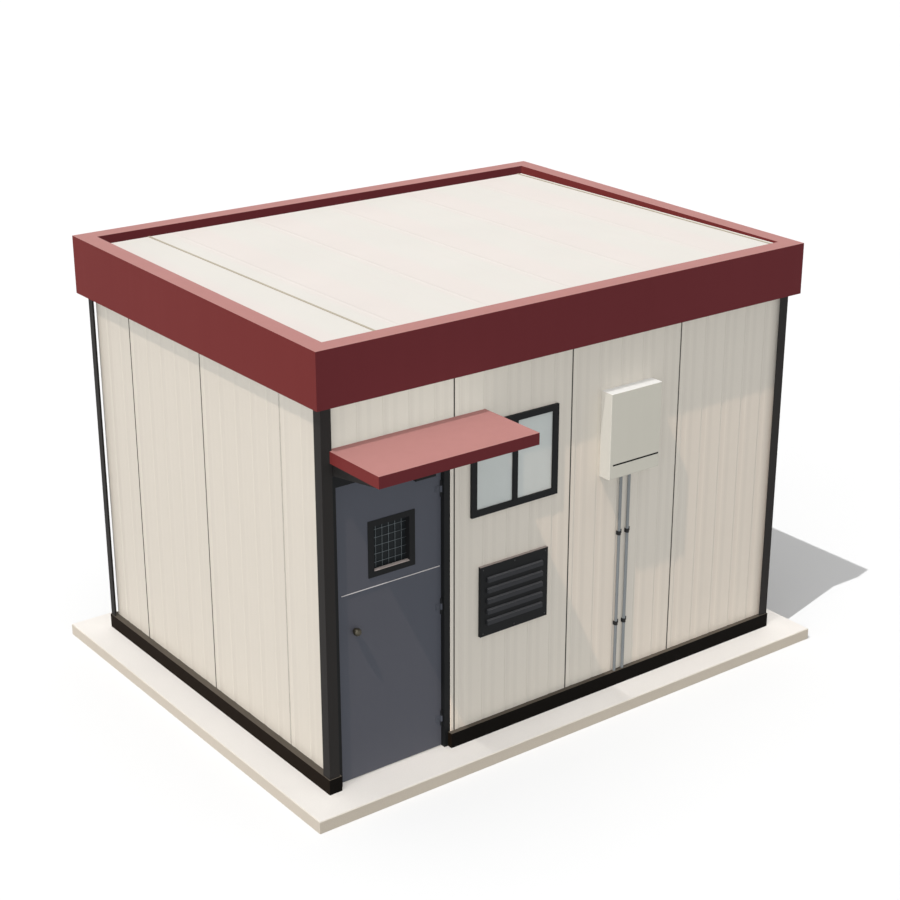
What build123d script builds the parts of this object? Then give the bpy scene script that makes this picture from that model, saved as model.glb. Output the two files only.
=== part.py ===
"""Prefab hut: a panel cabin on a concrete plinth with a hinged door, a window, a vent and a canopy.

Millimetres. X runs along the front wall, the front faces -Y and Z is up.
The origin is at the centre of the plinth's underside.
"""
import os
from math import ceil, cos, floor, radians, sin

from build123d import *

os.makedirs("parts", exist_ok=True)

# Plinth and base rails
slab_margin_side = 206.5
slab_margin_front = 204.5
slab_thickness = 80.0
slab_edge = 5.0
rail_height = 100.0
rail_width = 100.0
rail_ledge_side = 44.5
rail_ledge_front = 32.5
rail_lap = 16.0

# Walls: panels between the base rails and the fascia
wall_length = 3600.0
wall_depth = 2716.0
wall_height = 2336.0
wall_thickness = 50.0
panel_joint = 3.0
panel_chamfer = 3.0
side_panel_width = 900.0
groove_spacing = 180.0
groove_offset = 34.0
groove_fall = 8.0
groove_rise = 40.0
groove_depth = 2.5

# Corner posts: steel angles that stand off the panels, with a see-through gap at the rear ones
post_leg = 70.0
rear_post_side_leg = 50.0
rear_post_back_leg = 34.0
post_thickness = 6.0
post_standoff_side = 38.4
post_standoff_front = 26.4

# Fascia and roof
fascia_overhang_side = 93.0
fascia_overhang_front = 82.0
fascia_thickness = 118.5
fascia_height_front = 340.0
fascia_height_back = 387.0
deck_height = 327.0
roof_thickness = 75.0
roof_strip_width = 373.0
roof_sheet_width = 3155.0
roof_joint = 6.0
roof_seam_depth = 8.0
ring_beam = 60.0

# Doorway and door frame
corner_strip_width = 28.0
jamb_width = 43.0
jamb_setback = 4.0
opening_width = 759.0
side_strip_width = 27.0
head_height = 78.0
head_drop = 91.0
stop_width = 14.0
stop_depth = 20.0

# Door leaf
door_thickness = 40.0
door_setback = 32.0
door_gap = 5.0
door_floor_gap = 8.0

# Vision panel of the door
vision_width = 251.0
vision_height = 283.0
vision_offset = 17.0
vision_drop = 272.5
vision_frame_width = 333.0
vision_frame_height = 356.0
vision_frame_proud = 4.0
vision_lining = 3.0
vision_sill_thickness = 4.0
vision_sill_depth = 26.0
wire_diameter = 3.0
wire_count = 5
wire_pitch_share = 0.183
wire_sides = 6
wire_setback = 30.0
vision_glass = 4.0

# Door furniture
trim_height = 4.0
trim_proud = 4.0
trim_inset_left = 35.0
trim_inset_right = 11.0
trim_drop = 58.6
knob_diameter = 50.0
knob_reach = 25.0
knob_back_angle = 50.0
knob_bands = 9
knob_stem = 18.0
knob_rose = 34.0
knob_rose_thickness = 3.0
knob_inset = 124.0
knob_drop = 244.0
closer_length = 144.0
closer_height = 56.0
closer_depth = 40.0
closer_inset = 61.0
closer_drop = 34.0
closer_edge = 6.0
hinge_radius = 7.0
hinge_length = 100.0
hinge_flap_width = 40.0
hinge_flap_thickness = 3.0
hinge_play = 1.0
hinge_seat = 0.3
hinge_pin = 6.0
hinge_pin_play = 0.3
hinge_pin_head = 10.0
hinge_pin_head_height = 3.0
hinge_height_shares = (0.1, 0.5, 0.9)
hinge_knuckle_share = 0.4

# Window
window_width = 666.0
window_height = 588.0
window_drop = 9.0
window_offset = 2.0
window_flange_lap = 12.0
window_flange_proud = 18.0
window_face = 40.0
window_mullion = 34.0
window_frame_depth = 60.0
window_glass = 6.0
window_glass_setback = 14.0

# Vent with louvre hoods
vent_width = 529.0
vent_height = 469.0
vent_drop = 339.0
vent_proud = 22.0
vent_margin_side = 48.0
vent_margin_end = 75.0
hood_count = 5
hood_height = 33.0
hood_reach = 15.0
hood_lip = 28.0
hood_sheet = 4.0
hood_slot_cover = 3.0

# Meter box and its conduits
box_width = 417.0
box_height = 566.0
box_depth = 96.0
box_edge = 4.0
box_slot_height = 86.0
box_slot_width = 12.0
box_slot_depth = 5.0
box_slot_inset_left = 25.0
box_slot_inset_right = 3.0
conduit_diameter = 20.0
conduit_spacing = 70.0
conduit_standoff = 4.0
clip_band = 2.5
clip_play = 0.3
clip_height = 28.0
clip_lug = 22.0
clip_height_shares = (0.246, 0.698)

# Canopy over the door
canopy_lap = 227.0
canopy_reach = 500.0
canopy_thickness = 72.0
canopy_drop = 270.0
canopy_end_inset = 17.0
canopy_sheet = 6.0
canopy_play = 1.0
bracket_thickness = 10.0
bracket_margin = 16.0
bracket_reach = 442.0
bracket_root = 91.0
bracket_tip = 22.0
bracket_plate_width = 50.0
bracket_plate_thickness = 6.0

overrun = 5.0

# Levels
rail_top = slab_thickness + rail_height
wall_top = rail_top + wall_height
deck_top = wall_top + deck_height
deck_base = deck_top - roof_thickness
canopy_base = wall_top - canopy_drop - canopy_thickness
window_top = canopy_base - window_drop
window_base = window_top - window_height
vent_base = window_base - vent_drop - vent_height
box_base = window_top - box_height

# Planes of the walls, rails, posts and fascia
side_face = wall_length / 2
front_face = -wall_depth / 2
back_face = wall_depth / 2
rail_side = side_face + rail_ledge_side
rail_front = front_face - rail_ledge_front
rail_back = back_face + rail_ledge_front
post_side = side_face + post_standoff_side
post_front = front_face - post_standoff_front
post_back = back_face + post_standoff_front
fascia_side = side_face + fascia_overhang_side
fascia_depth = back_face + fascia_overhang_front
fascia_inner_side = fascia_side - fascia_thickness
fascia_inner_depth = fascia_depth - fascia_thickness

# Doorway, in X, Y and Z
jamb_left = -side_face + corner_strip_width
opening_left = jamb_left + jamb_width
opening_right = opening_left + opening_width
jamb_right = opening_right + jamb_width
door_bay_end = jamb_right + side_strip_width
leaf_left = opening_left + door_gap
leaf_right = opening_right - door_gap
leaf_middle = (leaf_left + leaf_right) / 2
leaf_outer = front_face + door_setback
leaf_inner = leaf_outer + door_thickness
head_top = canopy_base - head_drop
head_bottom = head_top - head_height
leaf_bottom = slab_thickness + door_floor_gap
leaf_top = head_bottom - door_gap
door_height = leaf_top - leaf_bottom
jamb_front = front_face + jamb_setback
stop_front = leaf_inner + door_gap
jamb_back = stop_front + stop_depth

# The three full bays of the front wall
bay_width = (side_face - door_bay_end) / 3
window_bay_end = door_bay_end + bay_width
middle_bay_end = window_bay_end + bay_width
window_middle = (door_bay_end + window_bay_end) / 2 + window_offset
vent_middle = (door_bay_end + window_bay_end) / 2
box_middle = (window_bay_end + middle_bay_end) / 2


def keep(piece, name):
    """Labels a finished piece and writes it to its own file."""
    piece.part.label = name
    export_step(piece.part, f"parts/{name}.step")


def block(x_span, y_span, z_span, mode=Mode.ADD):
    """A box between two limits on each axis."""
    spans = (x_span, y_span, z_span)
    centre = tuple((low + high) / 2 for low, high in spans)
    size = [high - low for low, high in spans]
    with Locations(centre):
        Box(*size, mode=mode)


def wall_plane(side, level=rail_top):
    """Plan plane of a wall: local X along the wall, local Y inwards from its outer face."""
    origins = {
        "front": (0, front_face, level),
        "back": (0, back_face, level),
        "left": (-side_face, 0, level),
        "right": (side_face, 0, level),
    }
    runs = {"front": (1, 0, 0), "back": (-1, 0, 0), "left": (0, -1, 0), "right": (0, 1, 0)}
    return Plane(origin=origins[side], x_dir=runs[side], z_dir=(0, 0, 1))


def panel_end(place, sign, mitred):
    """Plan points of one end of a panel, from its outer face to its inner face."""
    if mitred:
        return [(place, 0), (place + sign * wall_thickness, wall_thickness)]
    edge = place + sign * panel_joint / 2
    return [
        (edge + sign * panel_chamfer, 0),
        (edge, panel_chamfer),
        (edge, wall_thickness - panel_chamfer),
        (edge + sign * panel_chamfer, wall_thickness),
    ]


def groove_edges(start, end, anchor):
    """Places where the shallow grooves of a panel's face begin, on one pitch from a joint."""
    margin = panel_joint + panel_chamfer
    first_place = start + margin
    last_place = end - margin - groove_fall - groove_rise
    first = ceil((first_place - anchor - groove_offset) / groove_spacing)
    last = floor((last_place - anchor - groove_offset) / groove_spacing)
    return [anchor + groove_offset + step * groove_spacing for step in range(first, last + 1)]


def panel_plan(start, end, anchor, start_mitred=False, end_mitred=False):
    """Plan of one grooved wall panel, chamfered at its joints and mitred at a corner of the hut."""
    points = panel_end(start, 1, start_mitred) + panel_end(end, -1, end_mitred)[::-1]
    for edge in reversed(groove_edges(start, end, anchor)):
        points += [(edge + groove_fall + groove_rise, 0), (edge + groove_fall, groove_depth), (edge, 0)]
    Polygon(*points, align=None)


# Concrete plinth
with BuildPart() as base_slab:
    slab_side = rail_side + slab_margin_side
    slab_front = rail_back + slab_margin_front
    block((-slab_side, slab_side), (-slab_front, slab_front), (0, slab_thickness))
    chamfer(base_slab.faces().sort_by(Axis.Z)[-1].edges(), slab_edge)
keep(base_slab, "base_slab")

# Base rails: the front rail stops at the doorway, with its ends notched round the jambs
with BuildPart() as base_rail_front:
    rail_span_y = (rail_front, rail_front + rail_width)
    rail_span_z = (slab_thickness, rail_top)
    block((-rail_side, jamb_left + rail_lap), rail_span_y, rail_span_z)
    block((jamb_right - rail_lap, rail_side), rail_span_y, rail_span_z)
    notch_y = (jamb_front, rail_front + rail_width + overrun)
    notch_z = (slab_thickness - overrun, rail_top + overrun)
    block((jamb_left, jamb_left + rail_lap + overrun), notch_y, notch_z, Mode.SUBTRACT)
    block((jamb_right - rail_lap - overrun, jamb_right), notch_y, notch_z, Mode.SUBTRACT)
keep(base_rail_front, "base_rail_front")

with BuildPart() as base_rail_back:
    block((-rail_side, rail_side), (rail_back - rail_width, rail_back), (slab_thickness, rail_top))
keep(base_rail_back, "base_rail_back")

for side, sign in (("left", -1), ("right", 1)):
    with BuildPart() as base_rail_side:
        outer = sign * rail_side
        inner = sign * (rail_side - rail_width)
        rail_run = (rail_front + rail_width, rail_back - rail_width)
        block((min(outer, inner), max(outer, inner)), rail_run, (slab_thickness, rail_top))
        if side == "left":
            notch_run = (rail_run[0] - overrun, jamb_back)
            block((jamb_left, inner + overrun), notch_run, notch_z, Mode.SUBTRACT)
    keep(base_rail_side, f"base_rail_{side}")

# Corner posts: angles with one leg on the side and one on the front or back
corner_signs = {
    "front_left": (-1, -1),
    "front_right": (1, -1),
    "back_left": (-1, 1),
    "back_right": (1, 1),
}
for corner, (sign_x, sign_y) in corner_signs.items():
    at_front = sign_y < 0
    leg_x = post_leg if at_front else rear_post_back_leg
    leg_y = post_leg if at_front else rear_post_side_leg
    with BuildPart() as corner_post:
        with BuildSketch(Plane.XY.offset(rail_top)):
            with BuildLine():
                outer_x = sign_x * post_side
                outer_y = sign_y * post_back
                Polyline(
                    (outer_x, outer_y),
                    (outer_x - sign_x * leg_x, outer_y),
                    (outer_x - sign_x * leg_x, outer_y - sign_y * post_thickness),
                    (outer_x - sign_x * post_thickness, outer_y - sign_y * post_thickness),
                    (outer_x - sign_x * post_thickness, outer_y - sign_y * leg_y),
                    (outer_x, outer_y - sign_y * leg_y),
                    close=True,
                )
            make_face()
        extrude(amount=wall_height)
    keep(corner_post, f"corner_post_{corner}")

# Front wall: a corner strip, the panel over the door, a strip beside it and three full panels
with BuildPart() as front_corner_strip:
    block((-side_face, jamb_left), (front_face, jamb_back), (rail_top, wall_top))
keep(front_corner_strip, "front_corner_strip")

with BuildPart() as front_panel_over_door:
    with BuildSketch(wall_plane("front", head_top)):
        panel_plan(jamb_left - panel_joint / 2, door_bay_end, door_bay_end)
    extrude(amount=wall_top - head_top)
keep(front_panel_over_door, "front_panel_over_door")

with BuildPart() as front_strip_beside_door:
    with BuildSketch(wall_plane("front")):
        panel_plan(jamb_right - panel_joint / 2, door_bay_end, door_bay_end)
    extrude(amount=head_top - rail_top)
keep(front_strip_beside_door, "front_strip_beside_door")

window_cut_width = window_width - 2 * window_flange_lap
window_cut_height = window_height - 2 * window_flange_lap
window_middle_height = (window_base + window_top) / 2
vent_cut_width = vent_width - 2 * vent_margin_side
vent_cut_height = vent_height - 2 * vent_margin_end
vent_middle_height = vent_base + vent_height / 2

with BuildPart() as front_panel_window:
    with BuildSketch(wall_plane("front")):
        panel_plan(door_bay_end, window_bay_end, door_bay_end)
    extrude(amount=wall_height)
    with BuildSketch(Plane.XZ.offset(-front_face + overrun)):
        with Locations((window_middle, window_middle_height)):
            Rectangle(window_cut_width, window_cut_height)
        with Locations((vent_middle, vent_middle_height)):
            Rectangle(vent_cut_width, vent_cut_height)
    extrude(amount=-wall_thickness - 2 * overrun, mode=Mode.SUBTRACT)
keep(front_panel_window, "front_panel_window")

for name, start, end, at_corner in (
    ("front_panel_middle", window_bay_end, middle_bay_end, False),
    ("front_panel_right", middle_bay_end, side_face, True),
):
    with BuildPart() as front_panel:
        with BuildSketch(wall_plane("front")):
            panel_plan(start, end, start, end_mitred=at_corner)
        extrude(amount=wall_height)
    keep(front_panel, name)

# Side and back walls: full panels with narrower ones at the corners
half_depth = wall_depth / 2
side_joints = (-half_depth, -side_panel_width, 0, side_panel_width, half_depth)
back_joints = [side_face - wall_length * step / 4 for step in range(4, -1, -1)]
left_joints = side_joints[:-1] + (-jamb_back + panel_joint / 2,)
wall_runs = (
    ("left", left_joints, False),
    ("right", side_joints, True),
    ("back", back_joints, True),
)
for side, joints, last_mitred in wall_runs:
    with BuildPart() as wall_panels:
        last = len(joints) - 2
        with BuildSketch(wall_plane(side)):
            for number, (start, end) in enumerate(zip(joints, joints[1:])):
                anchor = end if number == 0 else start
                panel_plan(start, end, anchor, number == 0, number == last and last_mitred)
        extrude(amount=wall_height)
    keep(wall_panels, f"{side}_wall_panels")

# Fascia: four mitred pieces under one sloping top
fascia_mean = (fascia_height_front + fascia_height_back) / 2
fascia_slope = (fascia_height_back - fascia_height_front) / (2 * fascia_depth)
fascia_lid = Plane(origin=(0, 0, wall_top + fascia_mean), x_dir=(1, 0, 0), z_dir=(0, -fascia_slope, 1))
fascia_plans = {
    "front": ((-1, -1), (1, -1)),
    "right": ((1, -1), (1, 1)),
    "back": ((1, 1), (-1, 1)),
    "left": ((-1, 1), (-1, -1)),
}
for side, (first, second) in fascia_plans.items():
    with BuildPart() as fascia:
        with BuildSketch(Plane.XY.offset(wall_top)):
            with BuildLine():
                Polyline(
                    (first[0] * fascia_side, first[1] * fascia_depth),
                    (second[0] * fascia_side, second[1] * fascia_depth),
                    (second[0] * fascia_inner_side, second[1] * fascia_inner_depth),
                    (first[0] * fascia_inner_side, first[1] * fascia_inner_depth),
                    close=True,
                )
            make_face()
        extrude(amount=fascia_height_front + fascia_height_back)
        split(bisect_by=fascia_lid, keep=Keep.BOTTOM)
    keep(fascia, f"fascia_{side}")

# Roof panels between the fascia pieces, on a ring beam, with a seam between sheets near the right edge
roof_seam = -fascia_inner_side + roof_strip_width
roof_spans = {
    "roof_panel_left": (-fascia_inner_side, roof_seam - roof_joint / 2),
    "roof_panel_main": (roof_seam + roof_joint / 2, fascia_inner_side),
}
for name, roof_span in roof_spans.items():
    with BuildPart() as roof_panel:
        block(roof_span, (-fascia_inner_depth, fascia_inner_depth), (deck_base, deck_top))
        if name == "roof_panel_main":
            edge_seam = roof_seam + roof_sheet_width
            block(
                (edge_seam - roof_joint / 2, edge_seam + roof_joint / 2),
                (-fascia_inner_depth, fascia_inner_depth),
                (deck_top - roof_seam_depth, deck_top + overrun),
                Mode.SUBTRACT,
            )
    keep(roof_panel, name)

with BuildPart() as roof_ring_beam:
    with BuildSketch(Plane.XY.offset(deck_base - ring_beam)):
        Rectangle(2 * fascia_inner_side, 2 * fascia_inner_depth)
        Rectangle(
            2 * (fascia_inner_side - ring_beam),
            2 * (fascia_inner_depth - ring_beam),
            mode=Mode.SUBTRACT,
        )
    extrude(amount=ring_beam)
keep(roof_ring_beam, "roof_ring_beam")

# Door frame: two rebated jambs and a head
with BuildPart() as door_jambs:
    with BuildSketch(Plane.XY.offset(slab_thickness)):
        for outer, inner, stop in (
            (jamb_left, opening_left, opening_left + stop_width),
            (jamb_right, opening_right, opening_right - stop_width),
        ):
            with BuildLine():
                Polyline(
                    (outer, jamb_front),
                    (inner, jamb_front),
                    (inner, stop_front),
                    (stop, stop_front),
                    (stop, jamb_back),
                    (outer, jamb_back),
                    close=True,
                )
            make_face()
    extrude(amount=head_bottom - slab_thickness)
keep(door_jambs, "door_jambs")

with BuildPart() as door_head:
    block((jamb_left, jamb_right), (jamb_front, jamb_back), (head_bottom, head_top))
    block(
        (opening_left + stop_width, opening_right - stop_width),
        (stop_front, jamb_back),
        (head_bottom - stop_width, head_bottom),
    )
keep(door_head, "door_head")

# Door leaf with a cut-out for the vision panel
vision_x = leaf_middle + vision_offset
vision_z = leaf_top - vision_drop - vision_frame_height / 2
leaf_plane = Plane.XZ.offset(-leaf_outer)

with BuildPart() as door_leaf:
    block((leaf_left, leaf_right), (leaf_outer, leaf_inner), (leaf_bottom, leaf_top))
    with BuildSketch(leaf_plane.offset(overrun)):
        with Locations((vision_x, vision_z)):
            Rectangle(vision_width + 2 * vision_lining, vision_height + 2 * vision_lining)
    extrude(amount=-door_thickness - 2 * overrun, mode=Mode.SUBTRACT)
keep(door_leaf, "door_leaf")

# Vision panel: a frame on both faces joined by a lining, a sill, wires and glass
with BuildPart() as door_window_frame:
    for level in (vision_frame_proud, -door_thickness):
        with BuildSketch(leaf_plane.offset(level)):
            with Locations((vision_x, vision_z)):
                Rectangle(vision_frame_width, vision_frame_height)
                Rectangle(vision_width, vision_height, mode=Mode.SUBTRACT)
        extrude(amount=-vision_frame_proud)
    with BuildSketch(leaf_plane):
        with Locations((vision_x, vision_z)):
            Rectangle(vision_width + 2 * vision_lining, vision_height + 2 * vision_lining)
            Rectangle(vision_width, vision_height, mode=Mode.SUBTRACT)
    extrude(amount=-door_thickness)
keep(door_window_frame, "door_window_frame")

vision_left = vision_x - vision_width / 2
vision_right = vision_x + vision_width / 2
vision_base = vision_z - vision_height / 2
vision_top = vision_z + vision_height / 2

with BuildPart() as door_window_sill:
    sill_y = (leaf_outer - vision_frame_proud, leaf_outer - vision_frame_proud + vision_sill_depth)
    block((vision_left, vision_right), sill_y, (vision_base, vision_base + vision_sill_thickness))
keep(door_window_sill, "door_window_sill")

wire_y = leaf_outer + wire_setback
with BuildPart() as door_window_mesh:
    wire_pitch_x = vision_width * wire_pitch_share
    wire_pitch_z = vision_height * wire_pitch_share
    with BuildSketch(Plane(origin=(vision_x, wire_y, vision_base))):
        with GridLocations(wire_pitch_x, 1, wire_count, 1):
            RegularPolygon(wire_diameter / 2, wire_sides)
    extrude(amount=vision_height)
    with BuildSketch(Plane(origin=(vision_left, wire_y, vision_z), x_dir=(0, 1, 0), z_dir=(1, 0, 0))):
        with GridLocations(1, wire_pitch_z, 1, wire_count):
            RegularPolygon(wire_diameter / 2, wire_sides)
    extrude(amount=vision_width)
keep(door_window_mesh, "door_window_mesh")

with BuildPart() as door_window_glass:
    glass_y = (leaf_inner - vision_glass, leaf_inner)
    block((vision_left, vision_right), glass_y, (vision_base, vision_top))
keep(door_window_glass, "door_window_glass")

# Door furniture
with BuildPart() as door_trim_strip:
    trim_z = vision_z - vision_frame_height / 2 - trim_drop - trim_height / 2
    block(
        (leaf_left + trim_inset_left, leaf_right - trim_inset_right),
        (leaf_outer - trim_proud, leaf_outer),
        (trim_z - trim_height / 2, trim_z + trim_height / 2),
    )
keep(door_trim_strip, "door_trim_strip")

with BuildPart() as door_knobs:
    knob_x = leaf_left + knob_inset
    knob_z = trim_z - knob_drop
    knob_radius = knob_diameter / 2
    knob_step = (90 + knob_back_angle) / knob_bands
    knob_angles = [radians(band * knob_step - knob_back_angle) for band in range(knob_bands)]
    knob_ball = [(knob_radius * cos(angle), knob_reach + knob_radius * sin(angle)) for angle in knob_angles]
    for face, sign in ((leaf_outer, -1), (leaf_inner, 1)):
        foot = (knob_x, face, knob_z)
        with BuildSketch(Plane(origin=foot, x_dir=(1, 0, 0), z_dir=(0, 0, sign))):
            with BuildLine():
                Polyline(
                    (0, 0),
                    (knob_rose / 2, 0),
                    (knob_rose / 2, knob_rose_thickness),
                    (knob_stem / 2, knob_rose_thickness),
                    *knob_ball,
                    (0, knob_reach + knob_radius),
                    close=True,
                )
            make_face()
        revolve(axis=Axis(foot, (0, sign, 0)))
keep(door_knobs, "door_knobs")

with BuildPart() as door_closer:
    block(
        (leaf_right - closer_inset - closer_length, leaf_right - closer_inset),
        (leaf_outer - closer_depth, leaf_outer),
        (leaf_top - closer_drop - closer_height, leaf_top - closer_drop),
    )
    fillet(door_closer.faces().sort_by(Axis.Y)[0].edges(), closer_edge)
keep(door_closer, "door_closer")

# Hinges: a bored knuckle and flap on the leaf, on a pin between two knuckles and flaps on the jamb
hinge_x = opening_right - hinge_radius - hinge_play
hinge_y = leaf_outer - hinge_radius - hinge_play
hinge_levels = [leaf_bottom + share * door_height for share in hinge_height_shares]
knuckle_length = hinge_knuckle_share * hinge_length
jamb_knuckle_length = (hinge_length - knuckle_length) / 2 - hinge_seat

with BuildPart() as door_hinge_leaves:
    for level in hinge_levels:
        with Locations((hinge_x, hinge_y, level)):
            Cylinder(hinge_radius, knuckle_length)
        block(
            (hinge_x - hinge_flap_width, hinge_x),
            (leaf_outer - hinge_flap_thickness, leaf_outer),
            (level - knuckle_length / 2, level + knuckle_length / 2),
        )
        with Locations((hinge_x, hinge_y, level)):
            Cylinder(hinge_pin / 2 + hinge_pin_play, knuckle_length, mode=Mode.SUBTRACT)
keep(door_hinge_leaves, "door_hinge_leaves")

with BuildPart() as door_hinge_knuckles:
    jamb_knuckle_place = (hinge_length - jamb_knuckle_length) / 2
    for level in hinge_levels:
        for middle in (level - jamb_knuckle_place, level + jamb_knuckle_place):
            with Locations((hinge_x, hinge_y, middle)):
                Cylinder(hinge_radius, jamb_knuckle_length)
            block(
                (opening_right - hinge_flap_thickness, opening_right),
                (jamb_front, hinge_y),
                (middle - jamb_knuckle_length / 2, middle + jamb_knuckle_length / 2),
            )
        with Locations((hinge_x, hinge_y, level)):
            Cylinder(hinge_pin / 2, hinge_length)
        with Locations((hinge_x, hinge_y, level + (hinge_length + hinge_pin_head_height) / 2)):
            Cylinder(hinge_pin_head / 2, hinge_pin_head_height)
keep(door_hinge_knuckles, "door_hinge_knuckles")

# Window: a flanged frame with a mullion, and two panes
window_plane = Plane.XZ.offset(-front_face)
window_clear_width = window_width - 2 * window_face
window_clear_height = window_height - 2 * window_face

with BuildPart() as window_frame:
    with BuildSketch(window_plane.offset(window_flange_proud)):
        with Locations((window_middle, window_middle_height)):
            Rectangle(window_width, window_height)
            Rectangle(window_clear_width, window_clear_height, mode=Mode.SUBTRACT)
    extrude(amount=-window_flange_proud)
    with BuildSketch(window_plane):
        with Locations((window_middle, window_middle_height)):
            Rectangle(window_cut_width, window_cut_height)
            Rectangle(window_clear_width, window_clear_height, mode=Mode.SUBTRACT)
    extrude(amount=window_flange_proud - window_frame_depth)
    block(
        (window_middle - window_mullion / 2, window_middle + window_mullion / 2),
        (front_face - window_flange_proud, front_face - window_flange_proud + window_frame_depth),
        (window_middle_height - window_clear_height / 2, window_middle_height + window_clear_height / 2),
    )
keep(window_frame, "window_frame")

with BuildPart() as window_panes:
    pane_y = front_face - window_flange_proud + window_glass_setback
    pane_width = (window_clear_width - window_mullion) / 2
    pane_shift = (window_mullion + pane_width) / 2
    for middle in (window_middle - pane_shift, window_middle + pane_shift):
        block(
            (middle - pane_width / 2, middle + pane_width / 2),
            (pane_y, pane_y + window_glass),
            (window_middle_height - window_clear_height / 2, window_middle_height + window_clear_height / 2),
        )
keep(window_panes, "window_panes")

# Vent: a thick plate with slots and a louvre hood over each slot
vent_front = front_face - vent_proud
hood_width = vent_cut_width
hood_pitch = (vent_cut_height - hood_height) / (hood_count - 1)
hood_top = vent_middle_height + vent_cut_height / 2
hood_tops = [hood_top - number * hood_pitch for number in range(hood_count)]

with BuildPart() as vent_plate:
    block(
        (vent_middle - vent_width / 2, vent_middle + vent_width / 2),
        (vent_front, front_face),
        (vent_middle_height - vent_height / 2, vent_middle_height + vent_height / 2),
    )
    for top in hood_tops:
        block(
            (vent_middle - hood_width / 2 + hood_sheet, vent_middle + hood_width / 2 - hood_sheet),
            (vent_front - overrun, front_face + overrun),
            (top - hood_height + hood_slot_cover, top - hood_sheet - hood_slot_cover),
            Mode.SUBTRACT,
        )
keep(vent_plate, "vent_plate")

with BuildPart() as vent_hoods:
    for top in hood_tops:
        with BuildSketch(Plane.YZ.offset(vent_middle - hood_width / 2)):
            with BuildLine():
                Polyline(
                    (vent_front, top),
                    (vent_front - hood_reach, top - hood_height + hood_lip),
                    (vent_front - hood_reach, top - hood_height),
                    (vent_front, top - hood_height),
                    close=True,
                )
            make_face()
        extrude(amount=hood_width)
        with BuildSketch(Plane.YZ.offset(vent_middle - hood_width / 2 + hood_sheet)):
            with BuildLine():
                Polyline(
                    (vent_front + overrun, top - hood_sheet),
                    (vent_front, top - hood_sheet),
                    (vent_front - hood_reach + hood_sheet, top - hood_height + hood_lip - hood_sheet),
                    (vent_front - hood_reach + hood_sheet, top - hood_height - overrun),
                    (vent_front + overrun, top - hood_height - overrun),
                    close=True,
                )
            make_face()
        extrude(amount=hood_width - 2 * hood_sheet, mode=Mode.SUBTRACT)
keep(vent_hoods, "vent_hoods")

# Meter box with a slot across its front, and two conduits down to the base rail
box_left = box_middle - box_width / 2
box_right = box_middle + box_width / 2
box_front = front_face - box_depth
with BuildPart() as meter_box:
    block((box_left, box_right), (box_front, front_face), (box_base, box_base + box_height))
    fillet(meter_box.faces().sort_by(Axis.Y)[0].edges(), box_edge)
    block(
        (box_left + box_slot_inset_left, box_right - box_slot_inset_right - box_edge),
        (box_front - overrun, box_front + box_slot_depth),
        (box_base + box_slot_height, box_base + box_slot_height + box_slot_width),
        Mode.SUBTRACT,
    )
keep(meter_box, "meter_box")

conduit_radius = conduit_diameter / 2
conduit_y = front_face - conduit_standoff - conduit_radius
conduit_places = (box_middle - conduit_spacing / 2, box_middle + conduit_spacing / 2)
with BuildPart() as conduits:
    with BuildSketch(Plane.XY.offset(rail_top)):
        with Locations(*[(place, conduit_y) for place in conduit_places]):
            Circle(conduit_radius)
    extrude(amount=box_base - rail_top)
keep(conduits, "conduits")

band_inner = conduit_radius + clip_play
band_outer = band_inner + clip_band
with BuildPart() as conduit_clips:
    for share in clip_height_shares:
        clip_middle = rail_top + share * (box_base - rail_top)
        with BuildSketch(Plane.XY.offset(clip_middle - clip_height / 2)):
            for place in conduit_places:
                with Locations((place, conduit_y)):
                    Circle(band_outer)
                leg_middle = (conduit_y + front_face) / 2
                with Locations((place, leg_middle)):
                    Rectangle(2 * band_outer, front_face - conduit_y)
                with Locations((place, conduit_y)):
                    Circle(band_inner, mode=Mode.SUBTRACT)
                with Locations((place, leg_middle)):
                    Rectangle(2 * band_inner, front_face - conduit_y, mode=Mode.SUBTRACT)
                with Locations((place + band_inner + clip_lug / 2, front_face - clip_band / 2)):
                    Rectangle(clip_lug, clip_band)
        extrude(amount=clip_height)
keep(conduit_clips, "conduit_clips")

# Canopy: a folded tray, notched round the corner post, with a flat soffit and two tapered brackets
canopy_left = -side_face + canopy_end_inset
canopy_right = door_bay_end + canopy_lap
canopy_front = front_face - canopy_reach
notch_x = max(-post_side + post_leg + canopy_play, canopy_left)
notch_y = post_front - canopy_play


def canopy_plan(inset):
    """Plan of the canopy, drawn in from its edge."""
    Polygon(
        (canopy_left + inset, canopy_front + inset),
        (canopy_right - inset, canopy_front + inset),
        (canopy_right - inset, front_face - inset),
        (notch_x + inset, front_face - inset),
        (notch_x + inset, notch_y - inset),
        (canopy_left + inset, notch_y - inset),
        align=None,
    )


with BuildPart() as canopy_tray:
    with BuildSketch(Plane.XY.offset(canopy_base)):
        canopy_plan(0)
    extrude(amount=canopy_thickness)
    with BuildSketch(Plane.XY.offset(canopy_base - overrun)):
        canopy_plan(canopy_sheet)
    extrude(amount=canopy_thickness - canopy_sheet + overrun, mode=Mode.SUBTRACT)
keep(canopy_tray, "canopy_tray")

with BuildPart() as canopy_soffit:
    with BuildSketch(Plane.XY.offset(canopy_base)):
        canopy_plan(canopy_sheet)
    extrude(amount=canopy_sheet)
keep(canopy_soffit, "canopy_soffit")

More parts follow.
